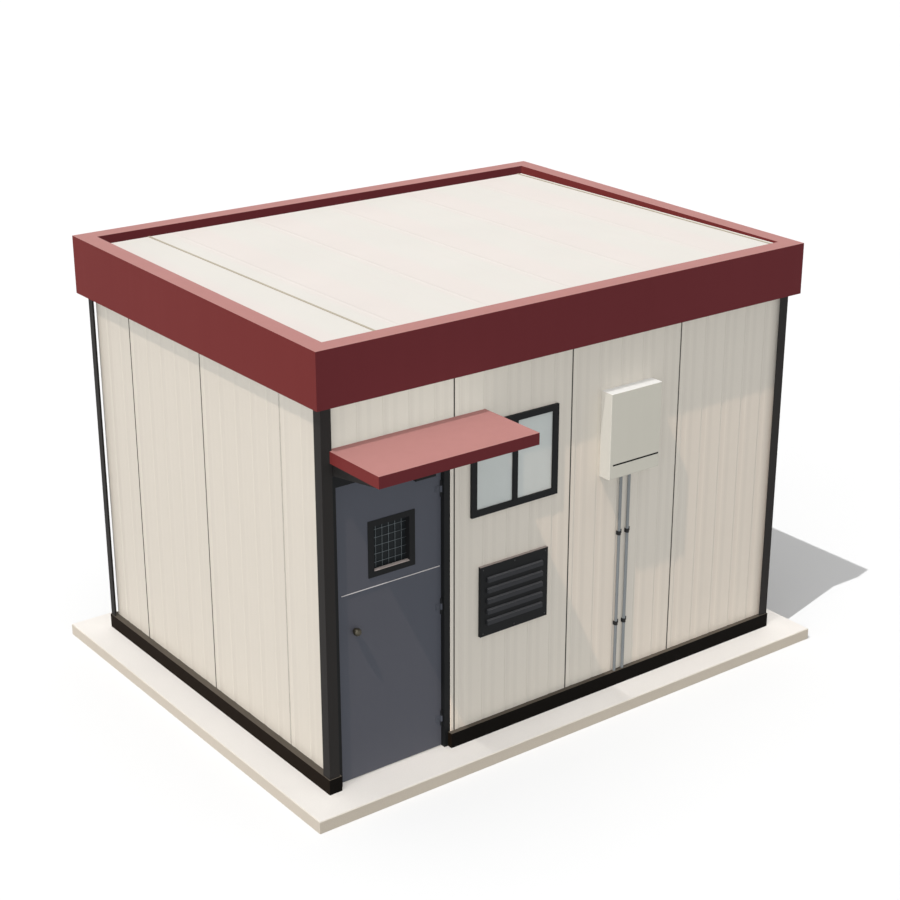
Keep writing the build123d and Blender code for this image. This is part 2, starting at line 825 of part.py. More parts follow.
with BuildPart() as canopy_brackets:
    for middle in (opening_left - bracket_margin, opening_right + bracket_margin):
        with BuildSketch(Plane.YZ.offset(middle - bracket_thickness / 2)):
            with BuildLine():
                Polyline(
                    (front_face, canopy_base),
                    (front_face - bracket_reach, canopy_base),
                    (front_face - bracket_reach, canopy_base - bracket_tip),
                    (front_face, canopy_base - bracket_root),
                    close=True,
                )
            make_face()
        extrude(amount=bracket_thickness)
        block(
            (middle - bracket_plate_width / 2, middle + bracket_plate_width / 2),
            (front_face - bracket_plate_thickness, front_face),
            (canopy_base - bracket_root, canopy_base),
        )
keep(canopy_brackets, "canopy_brackets")
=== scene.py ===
"""Finishes, seals, fixings and a studio stage for the prefab hut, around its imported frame.

Metres. X runs along the front wall, the front faces -Y and Z is up.
"""
import math

import bmesh
import bpy
from bpy.props import FloatProperty, FloatVectorProperty, IntProperty, PointerProperty
from bpy.types import Operator, Panel, PropertyGroup
from mathutils import Matrix, Vector


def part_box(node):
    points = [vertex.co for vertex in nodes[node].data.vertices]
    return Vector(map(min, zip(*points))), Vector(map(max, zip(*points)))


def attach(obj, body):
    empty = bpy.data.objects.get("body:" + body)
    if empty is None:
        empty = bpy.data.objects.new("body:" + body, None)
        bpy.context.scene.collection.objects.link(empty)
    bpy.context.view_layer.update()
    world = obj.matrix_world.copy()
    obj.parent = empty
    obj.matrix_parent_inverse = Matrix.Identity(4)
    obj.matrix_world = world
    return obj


bl_info = {
    "name": "Prefab Hut",
    "version": (1, 0, 0),
    "blender": (4, 5, 0),
    "location": "View3D > Sidebar > Hut",
    "description": "Dresses a packed prefab hut with paint, seals, fixings and a studio stage",
    "category": "Object",
}

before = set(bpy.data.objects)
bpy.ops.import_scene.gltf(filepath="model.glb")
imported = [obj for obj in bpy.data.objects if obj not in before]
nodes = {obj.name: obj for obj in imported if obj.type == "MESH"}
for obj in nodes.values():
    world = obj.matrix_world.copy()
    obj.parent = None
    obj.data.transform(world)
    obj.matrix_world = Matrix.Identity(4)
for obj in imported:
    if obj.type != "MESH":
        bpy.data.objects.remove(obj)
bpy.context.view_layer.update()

FORWARD = Vector((0.0, -1.0, 0.0))
DOWN = Vector((0.0, 0.0, -1.0))
FULL_STEP = 255
FRONT_FACES = ("front_panel_over_door", "front_strip_beside_door", "front_panel_window",
               "front_panel_middle", "front_panel_right", "door_leaf", "window_panes")
SLIM_EDGES = ("corner_post_front_left", "door_jambs")
SIDES = {"front": (0, 1, 0), "back": (0, -1, 0), "left": (1, 0, 0), "right": (-1, 0, 0)}

# Taper of a screw head, rim of its socket and depth of its socket, as shares of its radius or height
HEAD_TAPER = 0.82
SOCKET_RIM = 0.38
SOCKET_DEPTH = 0.55

# Ramps across one groove of a wall panel and one band of a roof sheet, as (place, height) stops
# GROOVE_SHADE is painted light and shade: the groove's steep side is painted lighter to offset the shade its
# shape takes, and the bands past it darker, as the shade of the groove and rib.
GROOVE_SHADE = ((0.0, 0.7), (0.03, 0.7), (0.065, 0.17), (0.11, 0.02), (0.2, 0.25), (0.3, 0.4),
                (0.34, 0.5), (0.38, 0.53), (0.44, 0.32), (0.55, 0.34), (0.62, 0.5), (1.0, 0.5))
GROOVE_RISE = ((0.0, 0.0), (0.24, 0.0), (0.33, 1.0), (0.6, 0.0), (1.0, 0.0))
BAND_SHADE = ((0.0, 0.44), (0.03, 0.5), (0.24, 0.5), (0.27, 0.46), (0.3, 0.5), (1.0, 0.5))
BAND_WARMTH = ((0.0, 0.1), (0.12, 0.0), (0.3, 1.0), (0.55, 1.0), (0.75, 0.0), (1.0, 0.1))
BAND_RISE = ((0.0, 0.0), (0.24, 0.0), (0.27, 1.0), (0.3, 0.0), (1.0, 0.0))


def tone(red, green, blue):
    """Linear colour, by the sRGB curve, of a display colour given in steps from 0 to 255."""
    def linear(step):
        share = step / FULL_STEP
        if share <= 0.04045:
            return share / 12.92
        return ((share + 0.055) / 1.055) ** 2.4

    return tuple(linear(step) for step in (red, green, blue))


def colour_property(label, text, default):
    """Colour setting in linear light."""
    return FloatVectorProperty(
        name=label, description=text, subtype="COLOR", size=3, min=0.0, max=1.0, default=default,
    )


def paint_property(label, text, red, green, blue):
    """Colour setting with its default as a display colour."""
    return colour_property(label, text, tone(red, green, blue))


def length_property(label, text, default):
    """Length setting in metres."""
    return FloatProperty(name=label, description=text, default=default, min=0.0, unit="LENGTH", precision=4)


def amount_property(label, text, default, **limits):
    """Plain number setting from nought up."""
    return FloatProperty(name=label, description=text, default=default, min=0.0, **limits)


def aim_property(label, text, default):
    """Direction setting."""
    return FloatVectorProperty(name=label, description=text, subtype="DIRECTION", size=3, default=default)


def angle_property(label, text, degrees):
    """Angle setting with its default in degrees."""
    default = math.radians(degrees)
    return FloatProperty(name=label, description=text, subtype="ANGLE", default=default, min=0.0)


class HutColours(PropertyGroup):
    """Colours of the hut's finishes."""

    panel: paint_property("Panels", "Paint of the wall panels", 221, 215, 204)
    panel_bounce: paint_property("Panel bounce", "Soft light thrown back by the wall panels", 150, 147, 142)
    fascia: paint_property("Fascia", "Paint of the fascia and canopy", 99, 41, 45)
    # Painted light: the red paint takes a lighter copy on faces turned to the left, where the main light
    # falls, and a paler copy on faces turned to the sky as a painted sheen.
    fascia_lit_left: paint_property("Sunny fascia", "Fascia painted lighter on its left side, as sunlit", 113, 45, 44)
    fascia_sky_sheen: paint_property("Fascia sky sheen", "Fascia painted paler where it faces the sky, as sheen", 182, 130, 125)
    canopy_lit_left: paint_property("Sunny canopy", "Canopy painted lighter on its left side, as sunlit", 118, 48, 47)
    canopy_sky_sheen: paint_property("Canopy sky sheen", "Canopy painted paler where it faces the sky, as sheen", 187, 132, 127)
    red_bounce: paint_property("Red bounce", "Soft light thrown back by the red paint", 230, 230, 228)
    roof: paint_property("Roof", "Roof sheets", 223, 219, 212)
    roof_warm: paint_property("Roof, warm bands", "Warmer bands of the roof sheets", 225, 217, 211)
    roof_bounce: paint_property("Roof bounce", "Soft light thrown back by the roof", 120, 112, 110)
    roof_seam: paint_property("Roof seam", "Cover strips of the roof seams", 176, 166, 146)
    slab: paint_property("Plinth", "Top of the concrete plinth", 224, 219, 213)
    slab_edge: paint_property("Plinth edge", "Sides of the concrete plinth", 203, 193, 178)
    # Painted light: the plinth's left side takes a lighter copy of its edge colour, where the main light
    # falls.
    slab_lit_left: paint_property("Sunny plinth edge", "Left side of the concrete plinth, painted lighter as lit", 217, 206, 191)
    rail: paint_property("Base rail", "Paint of the base rails", 15, 13, 11)
    # Painted light: the base rails take a lighter copy on their left side. Their ledge tops take a paler
    # film that is partly dust and partly painted light.
    rail_lit_left: paint_property("Sunny rail", "Base rail painted lighter on its left side, as sunlit", 26, 19, 13)
    rail_dust_and_light: paint_property("Dust", "Dust and painted light on dark ledges", 104, 96, 86)
    post: paint_property("Posts", "Paint of the corner posts", 46, 44, 43)
    frame_dark: paint_property("Frames", "Paint of the door and window frames", 27, 28, 29)
    door: paint_property("Door", "Paint of the door leaf", 81, 84, 93)
    hinge: paint_property("Hinges", "Paint of the hinge flaps on the door", 78, 81, 89)
    trim: paint_property("Trim", "Pale strip of the door", 205, 201, 200)
    sill: paint_property("Sill", "Sill under the door's pane", 182, 170, 165)
    # Painted reflection: the window panes are mostly opaque and pale, standing in for the bright sky seen in
    # them.
    pane: paint_property("Window panes", "Pale tint of the window panes, a painted reflection", 206, 212, 210)
    # Painted shade: the door's pane is near opaque and dark, standing in for the dark room behind it.
    vision_pane_shade: paint_property("Door pane", "Dark tint of the door's pane, a painted shade", 34, 38, 40)
    wire: paint_property("Wires", "Steel of the door's wire mesh", 100, 107, 110)
    knob: paint_property("Knob", "Metal of the door knobs", 74, 70, 60)
    hood: paint_property("Vent hoods", "Paint of the vent hoods", 49, 50, 53)
    # Painted light: the tops of the vent's hoods and of its plate are painted paler, where light from above
    # falls on them.
    hood_top_light: paint_property("Hood top light", "Painted light on top of the vent's hoods", 86, 86, 88)
    plate_top_light: paint_property("Plate top light", "Painted light on top of the vent's plate", 165, 152, 146)
    box: paint_property("Meter box", "Paint of the meter box", 206, 203, 191)
    # Painted light: the meter box is painted paler on its top, which lies in the fascia's shadow, and
    # lighter on its left side, where the main light falls.
    box_top_light: paint_property("Meter box top", "Meter box painted paler where it faces the sky, as lit", 246, 244, 240)
    box_lit_left: paint_property("Sunny meter box", "Meter box painted lighter on its left side, as sunlit", 222, 217, 206)
    conduit: paint_property("Conduits", "Plastic of the conduits", 120, 124, 126)
    clip: paint_property("Clips", "Plastic of the conduit clips", 30, 30, 31)
    rubber: paint_property("Rubber", "Seals and gaskets", 38, 36, 33)
    joint: paint_property("Joint seal", "Sealant in the panel joints", 84, 80, 73)
    # Painted shade: the sealant in the left wall's joints is painted much darker, as shade in the gaps of a
    # wall that the main light falls on.
    joint_shaded_left: paint_property("Shaded joint seal", "Sealant in the joints of the left wall, painted darker as shade", 20, 18, 15)
    screw: paint_property("Screws", "Dark coated screw heads", 44, 44, 45)


class HutSizes(PropertyGroup):
    """Sizes of the pieces that dress the hut."""

    panel_width: length_property("Panel width", "Width of a full wall panel", 0.9)
    joint_width: length_property("Joint width", "Gap between two panels", 0.003)
    joint_proud: length_property("Joint proud", "Height of the sealant over the panel face", 0.0003)
    joint_head: length_property("Joint head", "Width of the sealant at the panel face", 0.0100)
    joint_chamfer: length_property("Joint chamfer", "Chamfer of the panels at a joint", 0.003)
    joint_depth: length_property("Joint depth", "Depth of the sealant in a joint", 0.04)
    groove_spacing: length_property("Groove spacing", "Spacing of the grooves in a panel", 0.18)
    groove_offset: length_property("Groove offset", "First groove from a panel's joint", 0.034)
    rib_height: length_property("Rib height", "Height of the soft rib beside each groove", 0.0008)
    splash_base: length_property("Splash base", "Height at which the splashes are densest", 0.18)
    splash_reach: length_property("Splash reach", "Height over which the splashes fade", 0.5)
    # Painted shade: the plinth's top is painted darker across this rim, towards its outer edge.
    plinth_shade_rim: length_property("Plinth shade rim", "Width of the plinth's painted rim shade", 0.25)
    roof_band: length_property("Roof band", "Spacing of the faint bands in the roof sheets", 0.631)
    roof_rib: length_property("Roof rib", "Height of the faint rib in each band", 0.0015)
    roof_seam_left: length_property("Roof seam", "Main roof seam from the roof's left edge", 0.373)
    roof_sheet: length_property("Roof sheet", "Distance between two roof seams", 3.155)
    roof_cover: length_property("Seam cover", "Width of the cover strip over a roof seam", 0.014)
    roof_cover_shift: length_property("Seam cover shift", "Right cover strip from its seam", 0.014)
    roof_cover_rise: length_property("Seam cover rise", "Height of the cover strip over a roof seam", 0.004)
    roof_cover_root: length_property("Seam cover root", "Depth of the cover strip in a roof seam", 0.006)
    mullion: length_property("Mullion", "Width of the post between the window's panes", 0.034)
    bead_width: length_property("Bead width", "Glazing bead round a pane", 0.0015)
    bead_proud: length_property("Bead height", "Glazing bead in front of its pane", 0.004)
    stop_depth: length_property("Stop depth", "Depth of the door stops", 0.020)
    seal_width: length_property("Door seal width", "Seal on the door stops", 0.009)
    seal_height: length_property("Door seal height", "Thickness of the seal on the door stops", 0.0035)
    sweep_height: length_property("Sweep height", "Height of the strip under the door leaf", 0.006)
    hinge_flap: length_property("Hinge flap", "Thickness of a hinge flap", 0.003)
    hinge_inset: length_property("Hinge middle", "Middle of an outer hinge from its outer end", 0.02)
    hinge_screw_inset: length_property("Hinge screw inset", "Hinge screws from the flap's edge", 0.010)
    hinge_screw_rise: length_property("Hinge screw rise", "Hinge screws from the hinge's middle", 0.011)
    slot_height: length_property("Slot height", "Slot of the meter box above its underside", 0.086)
    slot_width: length_property("Slot width", "Width of the meter box's slot", 0.012)
    slot_depth: length_property("Slot depth", "Depth of the meter box's slot", 0.005)
    slot_recess: length_property("Slot recess", "Depth of the dark strip below the face of the box", 0.0005)
    slot_inset_left: length_property("Slot start", "Slot from the left side of the meter box", 0.025)
    slot_inset_right: length_property("Slot end", "Slot from the right side of the meter box", 0.007)
    vent_inset: length_property("Vent screw inset", "Screws from the edge of the vent's plate", 0.02)
    screw_radius: length_property("Screw radius", "Radius of a screw head", 0.0045)
    screw_height: length_property("Screw height", "Height of a screw head", 0.0025)
    bracket_plate: length_property("Bracket plate", "Width of a bracket's wall plate", 0.05)
    bracket_sheet: length_property("Bracket sheet", "Thickness of a bracket's wall plate", 0.006)
    bolt_radius: length_property("Bolt radius", "Radius of a bolt head", 0.00525)
    bolt_height: length_property("Bolt height", "Height of a bolt head", 0.0036)
    bolt_side: length_property("Bolt side", "Bolts from the middle of a wall plate", 0.016)
    bolt_foot: length_property("Bolt foot", "Lower bolts from the plate's lower end", 0.018)
    bolt_top: length_property("Bolt top", "Upper bolts from the plate's upper end", 0.025)
    screw_sides: IntProperty(name="Screw sides", description="Sides of a round head", default=14, min=6)
    soft_edge: length_property("Soft edge", "Rounding of small added pieces", 0.0008)


class HutStage(PropertyGroup):
    """Camera and light of the studio stage."""

    camera_place: FloatVectorProperty(
        name="Camera place", description="Where the camera stands", size=3, subtype="XYZ", unit="LENGTH",
        default=(-6.8675, -9.2087, 5.8535),
    )
    camera_aim: aim_property("Camera aim", "Direction that the camera looks in", (0.5626, 0.7440, -0.3607))
    camera_lens: FloatProperty(
        name="Lens", description="Focal length", default=72.56, min=1.0, unit="CAMERA",
    )
    camera_reach: length_property("Camera reach", "Farthest distance that the camera shows", 200.0)
    sun_aim: aim_property("Sun aim", "Direction that the main light travels in", (0.438, 0.1125, -0.90))
    sun_strength: amount_property("Sun", "Strength of the main light", 1.35)
    sun_spread: angle_property("Sun spread", "Angular size of the main light", 0.4)
    fill_aim: aim_property("Fill aim", "Direction of the soft side light", (0.833, 0.473, -0.284))
    fill_strength: amount_property("Fill", "Strength of the soft side light", 1.344)
    fill_spread: angle_property("Fill spread", "Angular size of the soft lights", 60.0)
    left_aim: aim_property("Left aim", "Direction of the light on the left wall", (0.585, 0.15, -0.90))
    left_strength: amount_property("Left light", "Strength of the light on the left wall", 0.95)
    left_colour: colour_property("Left colour", "Colour of the light on the left wall", (1.0, 0.84, 0.71))
    front_strength: amount_property("Front light", "Strength of the light added on the front wall", 1.75)
    front_colour: colour_property("Front colour", "Colour of the light on the front wall", (1.0, 0.48, 0.17))
    even_side: amount_property("Even side light", "Strength of the shadowless light on each side", 0.33)
    even_top: amount_property("Even top light", "Strength of the shadowless light from above", 0.65)
    floor_strength: amount_property("Floor light", "Strength of the main light added on the floor", 1.38)
    plinth_sun: amount_property("Plinth sun", "Strength of the main light on the plinth", 0.42)
    plinth_strength: amount_property("Plinth light", "Strength of the even light on the plinth", 1.94)
    sky_strength: amount_property("Sky", "Strength of the soft light", 0.4)
    floor_size: length_property("Floor", "Width of the floor", 120.0)
    floor_drop: length_property("Floor drop", "Floor below the plinth's underside", 0.001)
    floor_tone: amount_property("Floor tone", "Paleness of the floor", 0.668, max=1.0)
    floor_bounce: amount_property("Floor bounce", "Light that the floor throws back", 0.24, max=1.0)


# Shader nodes


def add_node(tree, kind, inputs=None, **settings):
    """Adds a node, with its settings and its inputs linked or set."""
    node = tree.nodes.new(kind)
    for key, value in settings.items():
        setattr(node, key, value)
    for key, value in (inputs or {}).items():
        join(tree, node.inputs[key], value)
    return node


def join(tree, socket, value):
    """Links a socket to another one, or sets its value."""
    if isinstance(value, bpy.types.NodeSocket):
        tree.links.new(value, socket)
    else:
        socket.default_value = value


def calc(tree, operation, first, second=0.0, clamp=False):
    """Output of a Math node."""
    node = add_node(tree, "ShaderNodeMath", {0: first, 1: second}, operation=operation, use_clamp=clamp)
    return node.outputs[0]


def times_plus(tree, value, factor, base):
    """A value times a factor, added to a base."""
    return calc(tree, "ADD", calc(tree, "MULTIPLY", value, factor), base)


def vector_calc(tree, operation, inputs):
    """Output of a Vector Math node."""
    return add_node(tree, "ShaderNodeVectorMath", inputs, operation=operation).outputs["Vector"]


def coordinate(tree, vector, axis):
    """One coordinate of a vector."""
    return add_node(tree, "ShaderNodeSeparateXYZ", {"Vector": vector}).outputs[axis]


def share_between(tree, value, low, high, **settings):
    """Share from nought to one of a value between two limits."""
    limits = {"Value": value, "From Min": low, "From Max": high}
    return add_node(tree, "ShaderNodeMapRange", limits, **settings).outputs["Result"]


def repeat_share(tree, along, start, spacing):
    """Share of the way from one repeat to the next."""
    return calc(tree, "FRACT", calc(tree, "DIVIDE", calc(tree, "SUBTRACT", along, start), spacing))


def opaque(colour):
    """Colour with full alpha for a node socket."""
    return (*colour, 1.0)


def scaled_colour(tree, colour, factor):
    """A colour made lighter or darker by a factor."""
    if not isinstance(colour, bpy.types.NodeSocket):
        colour = colour[:3]
    return vector_calc(tree, "SCALE", {0: colour, "Scale": factor})


def mixed_colour(tree, factor, first, second):
    """A colour between two others."""
    node = tree.nodes.new("ShaderNodeMix")
    node.data_type = "RGBA"
    join(tree, node.inputs["Factor"], factor)
    join(tree, node.inputs[6], first)
    join(tree, node.inputs[7], second)
    return node.outputs[2]


def turned_left(tree, normal, colour, left_painted_light):
    """A colour that changes to another on faces turned to the left, where the main light falls: painted
    light on that side, and painted shade for the left wall's joints.
    """
    lit = share_between(tree, coordinate(tree, normal, "X"), -0.4, -0.9)
    return mixed_colour(tree, lit, opaque(colour), opaque(left_painted_light))


def noise(tree, vector, scale, detail=2.0, stretch=None):
    """Value of a noise texture, stretched along an axis where asked."""
    if stretch:
        mapping = add_node(tree, "ShaderNodeMapping", {"Vector": vector, "Scale": stretch})
        vector = mapping.outputs["Vector"]
    node = add_node(tree, "ShaderNodeTexNoise", {"Vector": vector, "Scale": scale, "Detail": detail})
    return node.outputs["Fac"]


def swing(tree, vector, scale, detail, stretch=None):
    """Noise that swings about nought."""
    return calc(tree, "SUBTRACT", noise(tree, vector, scale, detail, stretch), 0.5)


def ramp(tree, factor, stops):
    """Value of a ramp through a row of (place, height) stops."""
    node = add_node(tree, "ShaderNodeValToRGB", {"Fac": factor})
    elements = node.color_ramp.elements
    while len(elements) < len(stops):
        elements.new(1.0)
    for element, (place, height) in zip(elements, stops):
        element.position = place
        element.color = (height, height, height, 1.0)
    node.color_ramp.interpolation = "EASE"
    return node.outputs["Color"]


def seen_directly(tree):
    """One for rays from the camera, a mirror or through glass, and nought for soft light."""
    path = add_node(tree, "ShaderNodeLightPath").outputs
    seen = calc(tree, "MAXIMUM", path["Is Camera Ray"], path["Is Glossy Ray"])
    return calc(tree, "MAXIMUM", seen, path["Is Transmission Ray"])


def face_normal(tree):
    """Normal of the face."""
    return add_node(tree, "ShaderNodeNewGeometry").outputs["Normal"]


def bump(tree, shader, height):
    """Turns a height in metres into the shader's normal."""
    node = add_node(tree, "ShaderNodeBump", {"Height": height, "Distance": 1.0, "Strength": 1.0})
    join(tree, shader.inputs["Normal"], node.outputs["Normal"])


# Shared node groups


def new_group(name, inputs, outputs):
    """An empty shader node group with named sockets."""
    group = bpy.data.node_groups.new(name, "ShaderNodeTree")
    for side, sockets in (("INPUT", inputs), ("OUTPUT", outputs)):
        for label, kind in sockets.items():
            group.interface.new_socket(label, in_out=side, socket_type=f"NodeSocket{kind}")
    source = group.nodes.new("NodeGroupInput")
    target = group.nodes.new("NodeGroupOutput")
    return group, source.outputs, target.inputs


def weathered_paint(name):
    """Paint with rain streaks, soft clouds and a fine orange-peel grain."""
    group, given, result = new_group(
        name,
        {"Vector": "Vector", "Colour": "Color", "Roughness": "Float", "Streaks": "Float", "Clouds": "Float",
         "Grain": "Float"},
        {"Colour": "Color", "Roughness": "Float", "Height": "Float"},
    )
    streak = swing(group, given["Vector"], scale=1.0, detail=4.0, stretch=(14.0, 14.0, 0.45))
    cloud = swing(group, given["Vector"], scale=1.7, detail=3.0)
    grain = swing(group, given["Vector"], scale=380.0, detail=1.0)
    change = times_plus(group, streak, given["Streaks"], calc(group, "MULTIPLY", cloud, given["Clouds"]))
    join(group, result["Colour"], scaled_colour(group, given["Colour"], calc(group, "ADD", change, 1.0)))
    gloss = calc(group, "SUBTRACT", given["Roughness"], calc(group, "MULTIPLY", change, 0.8))
    join(group, result["Roughness"], gloss)
    join(group, result["Height"], calc(group, "MULTIPLY", grain, given["Grain"]))
    return group


def sky_facing_mask(name):
    """Mask of faces turned to the sky, broken by patches: it lays painted sheen and painted light on those
    faces, some dust on the rails' ledges, and picks the plinth's top.
    """
    group, given, result = new_group(
        name, {"Vector": "Vector", "Normal": "Vector", "Patchiness": "Float"}, {"Mask": "Float"},
    )
    lift = coordinate(group, given["Normal"], "Z")
    facing = share_between(group, lift, 0.5, 0.95, interpolation_type="SMOOTHSTEP")
    patches = noise(group, given["Vector"], scale=3.5, detail=5.0)
    kept = calc(group, "SUBTRACT", 1.0, calc(group, "MULTIPLY", patches, given["Patchiness"]))
    join(group, result["Mask"], calc(group, "MULTIPLY", facing, kept))
    return group


def panel_wave(name):
    """Tone and height of the soft ribs that run beside the grooves of a wall panel; the tone is painted
    light and shade across each groove and rib.
    """
    group, given, result = new_group(
        name, {"Along": "Float", "Spacing": "Float", "Offset": "Float", "Rib": "Float"},
        {"Tone": "Float", "Height": "Float"},
    )
    share = repeat_share(group, given["Along"], given["Offset"], given["Spacing"])
    shade = ramp(group, share, GROOVE_SHADE)
    rise = ramp(group, share, GROOVE_RISE)
    join(group, result["Tone"], calc(group, "SUBTRACT", shade, 0.5))
    join(group, result["Height"], calc(group, "MULTIPLY", rise, given["Rib"]))
    return group


def ground_splash(name):
    """Mask of the dirt that rain throws up from the ground, fading with height."""
    group, given, result = new_group(
        name, {"Vector": "Vector", "Base": "Float", "Reach": "Float"}, {"Mask": "Float"},
    )
    height = coordinate(group, given["Vector"], "Z")
    share = calc(group, "DIVIDE", calc(group, "SUBTRACT", height, given["Base"]), given["Reach"])
    fade = calc(group, "SUBTRACT", 1.0, share, clamp=True)
    spots = noise(group, given["Vector"], scale=16.0, detail=5.0)
    join(group, result["Mask"], calc(group, "MULTIPLY", calc(group, "MULTIPLY", fade, fade), spots))
    return group


GROUPS = {"weathered_paint": weathered_paint, "sky_facing_mask": sky_facing_mask, "panel_wave": panel_wave,
          "ground_splash": ground_splash}


def use_group(tree, name, inputs):
    """Places a node group, built at its first use, with its inputs and returns its outputs."""
    group = bpy.data.node_groups.get(name)
    if group is None:
        group = GROUPS[name](name)
    return add_node(tree, "ShaderNodeGroup", inputs, node_tree=group).outputs


# Finishes


def new_material(name, roughness=0.5, metallic=0.0, specular=0.5):
    """A material with a Principled shader, its tree and its Object coordinates."""
    material = bpy.data.materials.new(name)
    material.use_nodes = True
    tree = material.node_tree
    shader = tree.nodes["Principled BSDF"]
    shader.inputs["Roughness"].default_value = roughness
    shader.inputs["Metallic"].default_value = metallic
    shader.inputs["Specular IOR Level"].default_value = specular
    place = add_node(tree, "ShaderNodeTexCoord").outputs["Object"]
    return material, tree, shader, place


def weather(tree, shader, place, colour, roughness, streaks, clouds, grain, bounce=None, relief=None):
    """Weathers a colour and links it to a shader, with a relief in metres where asked.

    The bounce is the colour of the soft light that it throws on its neighbours.
    """
    coat = use_group(tree, "weathered_paint", {
        "Vector": place, "Colour": colour, "Roughness": roughness, "Streaks": streaks, "Clouds": clouds,
        "Grain": grain,
    })
    seen = coat["Colour"]
    if bounce is not None:
        soft = add_node(tree, "ShaderNodeLightPath").outputs["Is Diffuse Ray"]
        seen = mixed_colour(tree, soft, seen, opaque(bounce))
    height = coat["Height"]
    if relief is not None:
        height = calc(tree, "ADD", height, relief)
    join(tree, shader.inputs["Base Color"], seen)
    join(tree, shader.inputs["Roughness"], coat["Roughness"])
    bump(tree, shader, height)


def paint(name, colour, roughness=0.45, streaks=0.05, clouds=0.05, grain=0.00002, specular=0.5,
          top_light_and_dust=None, patchiness=0.25, left_painted_light=None, bounce=None):
    """Painted or coated surface, with other colours on faces turned to the sky or the left where asked:
    painted light and sheen on those faces, painted shade in the left wall's joints, and some dust on the
    rails' ledges.
    """
    if name in bpy.data.materials:
        return bpy.data.materials[name]
    material, tree, shader, place = new_material(name, roughness, specular=specular)
    base = opaque(colour)
    normal = face_normal(tree)
    if left_painted_light:
        base = turned_left(tree, normal, colour, left_painted_light)
    if top_light_and_dust:
        mask = use_group(tree, "sky_facing_mask", {"Vector": place, "Normal": normal, "Patchiness": patchiness})
        base = mixed_colour(tree, mask["Mask"], base, opaque(top_light_and_dust))
    weather(tree, shader, place, base, roughness, streaks, clouds, grain, bounce)
    return material


def post_paint(colours):
    """Dark paint of the corner posts and the canopy's brackets."""
    return paint("post_paint", colours.post, roughness=0.5, streaks=0.12, specular=0.05)


def frame_paint(colours, name="frame_paint", top_light_and_dust=None, patchiness=0.1):
    """Dark paint of the door frame, the window frame and, with painted light on its top edge, the vent
    plate.
    """
    return paint(name, colours.frame_dark, roughness=0.42, streaks=0.08, specular=0.08, top_light_and_dust=top_light_and_dust,
                 patchiness=patchiness)


def red_paint(name, colours, streaks, sky_sheen, left_painted_light):
    """Red paint, with a painted sheen where it faces the sky and painted light on its left side."""
    return paint(name, colours.fascia, roughness=0.55, streaks=streaks, specular=0.06, top_light_and_dust=sky_sheen,
                 patchiness=0.08, left_painted_light=left_painted_light, bounce=colours.red_bounce)


def screw_coat(colours):
    """Dark coat of screw and bolt heads."""
    return paint("screw_coat", colours.screw, roughness=0.4)


def panel_paint(name, axis, colours, sizes, depth, fade):
    """Wall panel paint, with soft ribs across one axis and painted light and shade across their grooves, a
    painted light that falls off slowly along it, and splashes at its foot.
    """
    material, tree, shader, place = new_material(name, specular=0.35)
    along = coordinate(tree, place, axis)
    if axis == "Y":
        along = calc(tree, "MULTIPLY", along, -1.0)
    wave = use_group(tree, "panel_wave", {
        "Along": along, "Spacing": sizes.groove_spacing, "Offset": sizes.groove_offset,
        "Rib": sizes.rib_height,
    })
    shade = times_plus(tree, wave["Tone"], depth, 1.0)
    # Painted light: brighter towards lower X on the long walls and towards the front on the short walls, as
    # the light falls off along the wall.
    shade = calc(tree, "SUBTRACT", shade, calc(tree, "MULTIPLY", along, fade))
    base = scaled_colour(tree, opaque(colours.panel), shade)
    splash = use_group(tree, "ground_splash", {
        "Vector": place, "Base": sizes.splash_base, "Reach": sizes.splash_reach,
    })
    dirt = tuple(share * 0.72 for share in colours.panel)
    base = mixed_colour(tree, calc(tree, "MULTIPLY", splash["Mask"], 0.05), base, opaque(dirt))
    weather(tree, shader, place, base, roughness=0.5, streaks=0.038, clouds=0.03, grain=0.000015,
            bounce=colours.panel_bounce, relief=wave["Height"])
    return material


def roof_paint(name, colours, sizes, start):
    """Roof sheet with soft warm bands, faint lines between them and soft water marks."""
    material, tree, shader, place = new_material(name, roughness=0.6, specular=0.1)
    share = repeat_share(tree, coordinate(tree, place, "X"), start, sizes.roof_band)
    shade = ramp(tree, share, BAND_SHADE)
    warmth = ramp(tree, share, BAND_WARMTH)
    rise = ramp(tree, share, BAND_RISE)
    factor = times_plus(tree, calc(tree, "SUBTRACT", shade, 0.5), 0.2, 1.0)
    base = mixed_colour(tree, warmth, opaque(colours.roof), opaque(colours.roof_warm))
    weather(tree, shader, place, scaled_colour(tree, base, factor), roughness=0.6, streaks=0.0, clouds=0.06,
            grain=0.00003, bounce=colours.roof_bounce, relief=calc(tree, "MULTIPLY", rise, sizes.roof_rib))
    return material


def painted_rim_shade(tree, place, low, high, rim):
    """Share that grows from nought at the walls to one at the plinth's outer edge, for the painted shade of
    the plinth's rim.
    """
    shifted = vector_calc(tree, "SUBTRACT", {0: place, 1: (low + high) / 2})
    spread = vector_calc(tree, "ABSOLUTE", {0: shifted})
    past = vector_calc(tree, "SUBTRACT", {0: spread, 1: (high - low) / 2})
    parts = add_node(tree, "ShaderNodeSeparateXYZ", {"Vector": past}).outputs
    return share_between(tree, calc(tree, "MAXIMUM", parts["X"], parts["Y"]), -rim, 0.0)


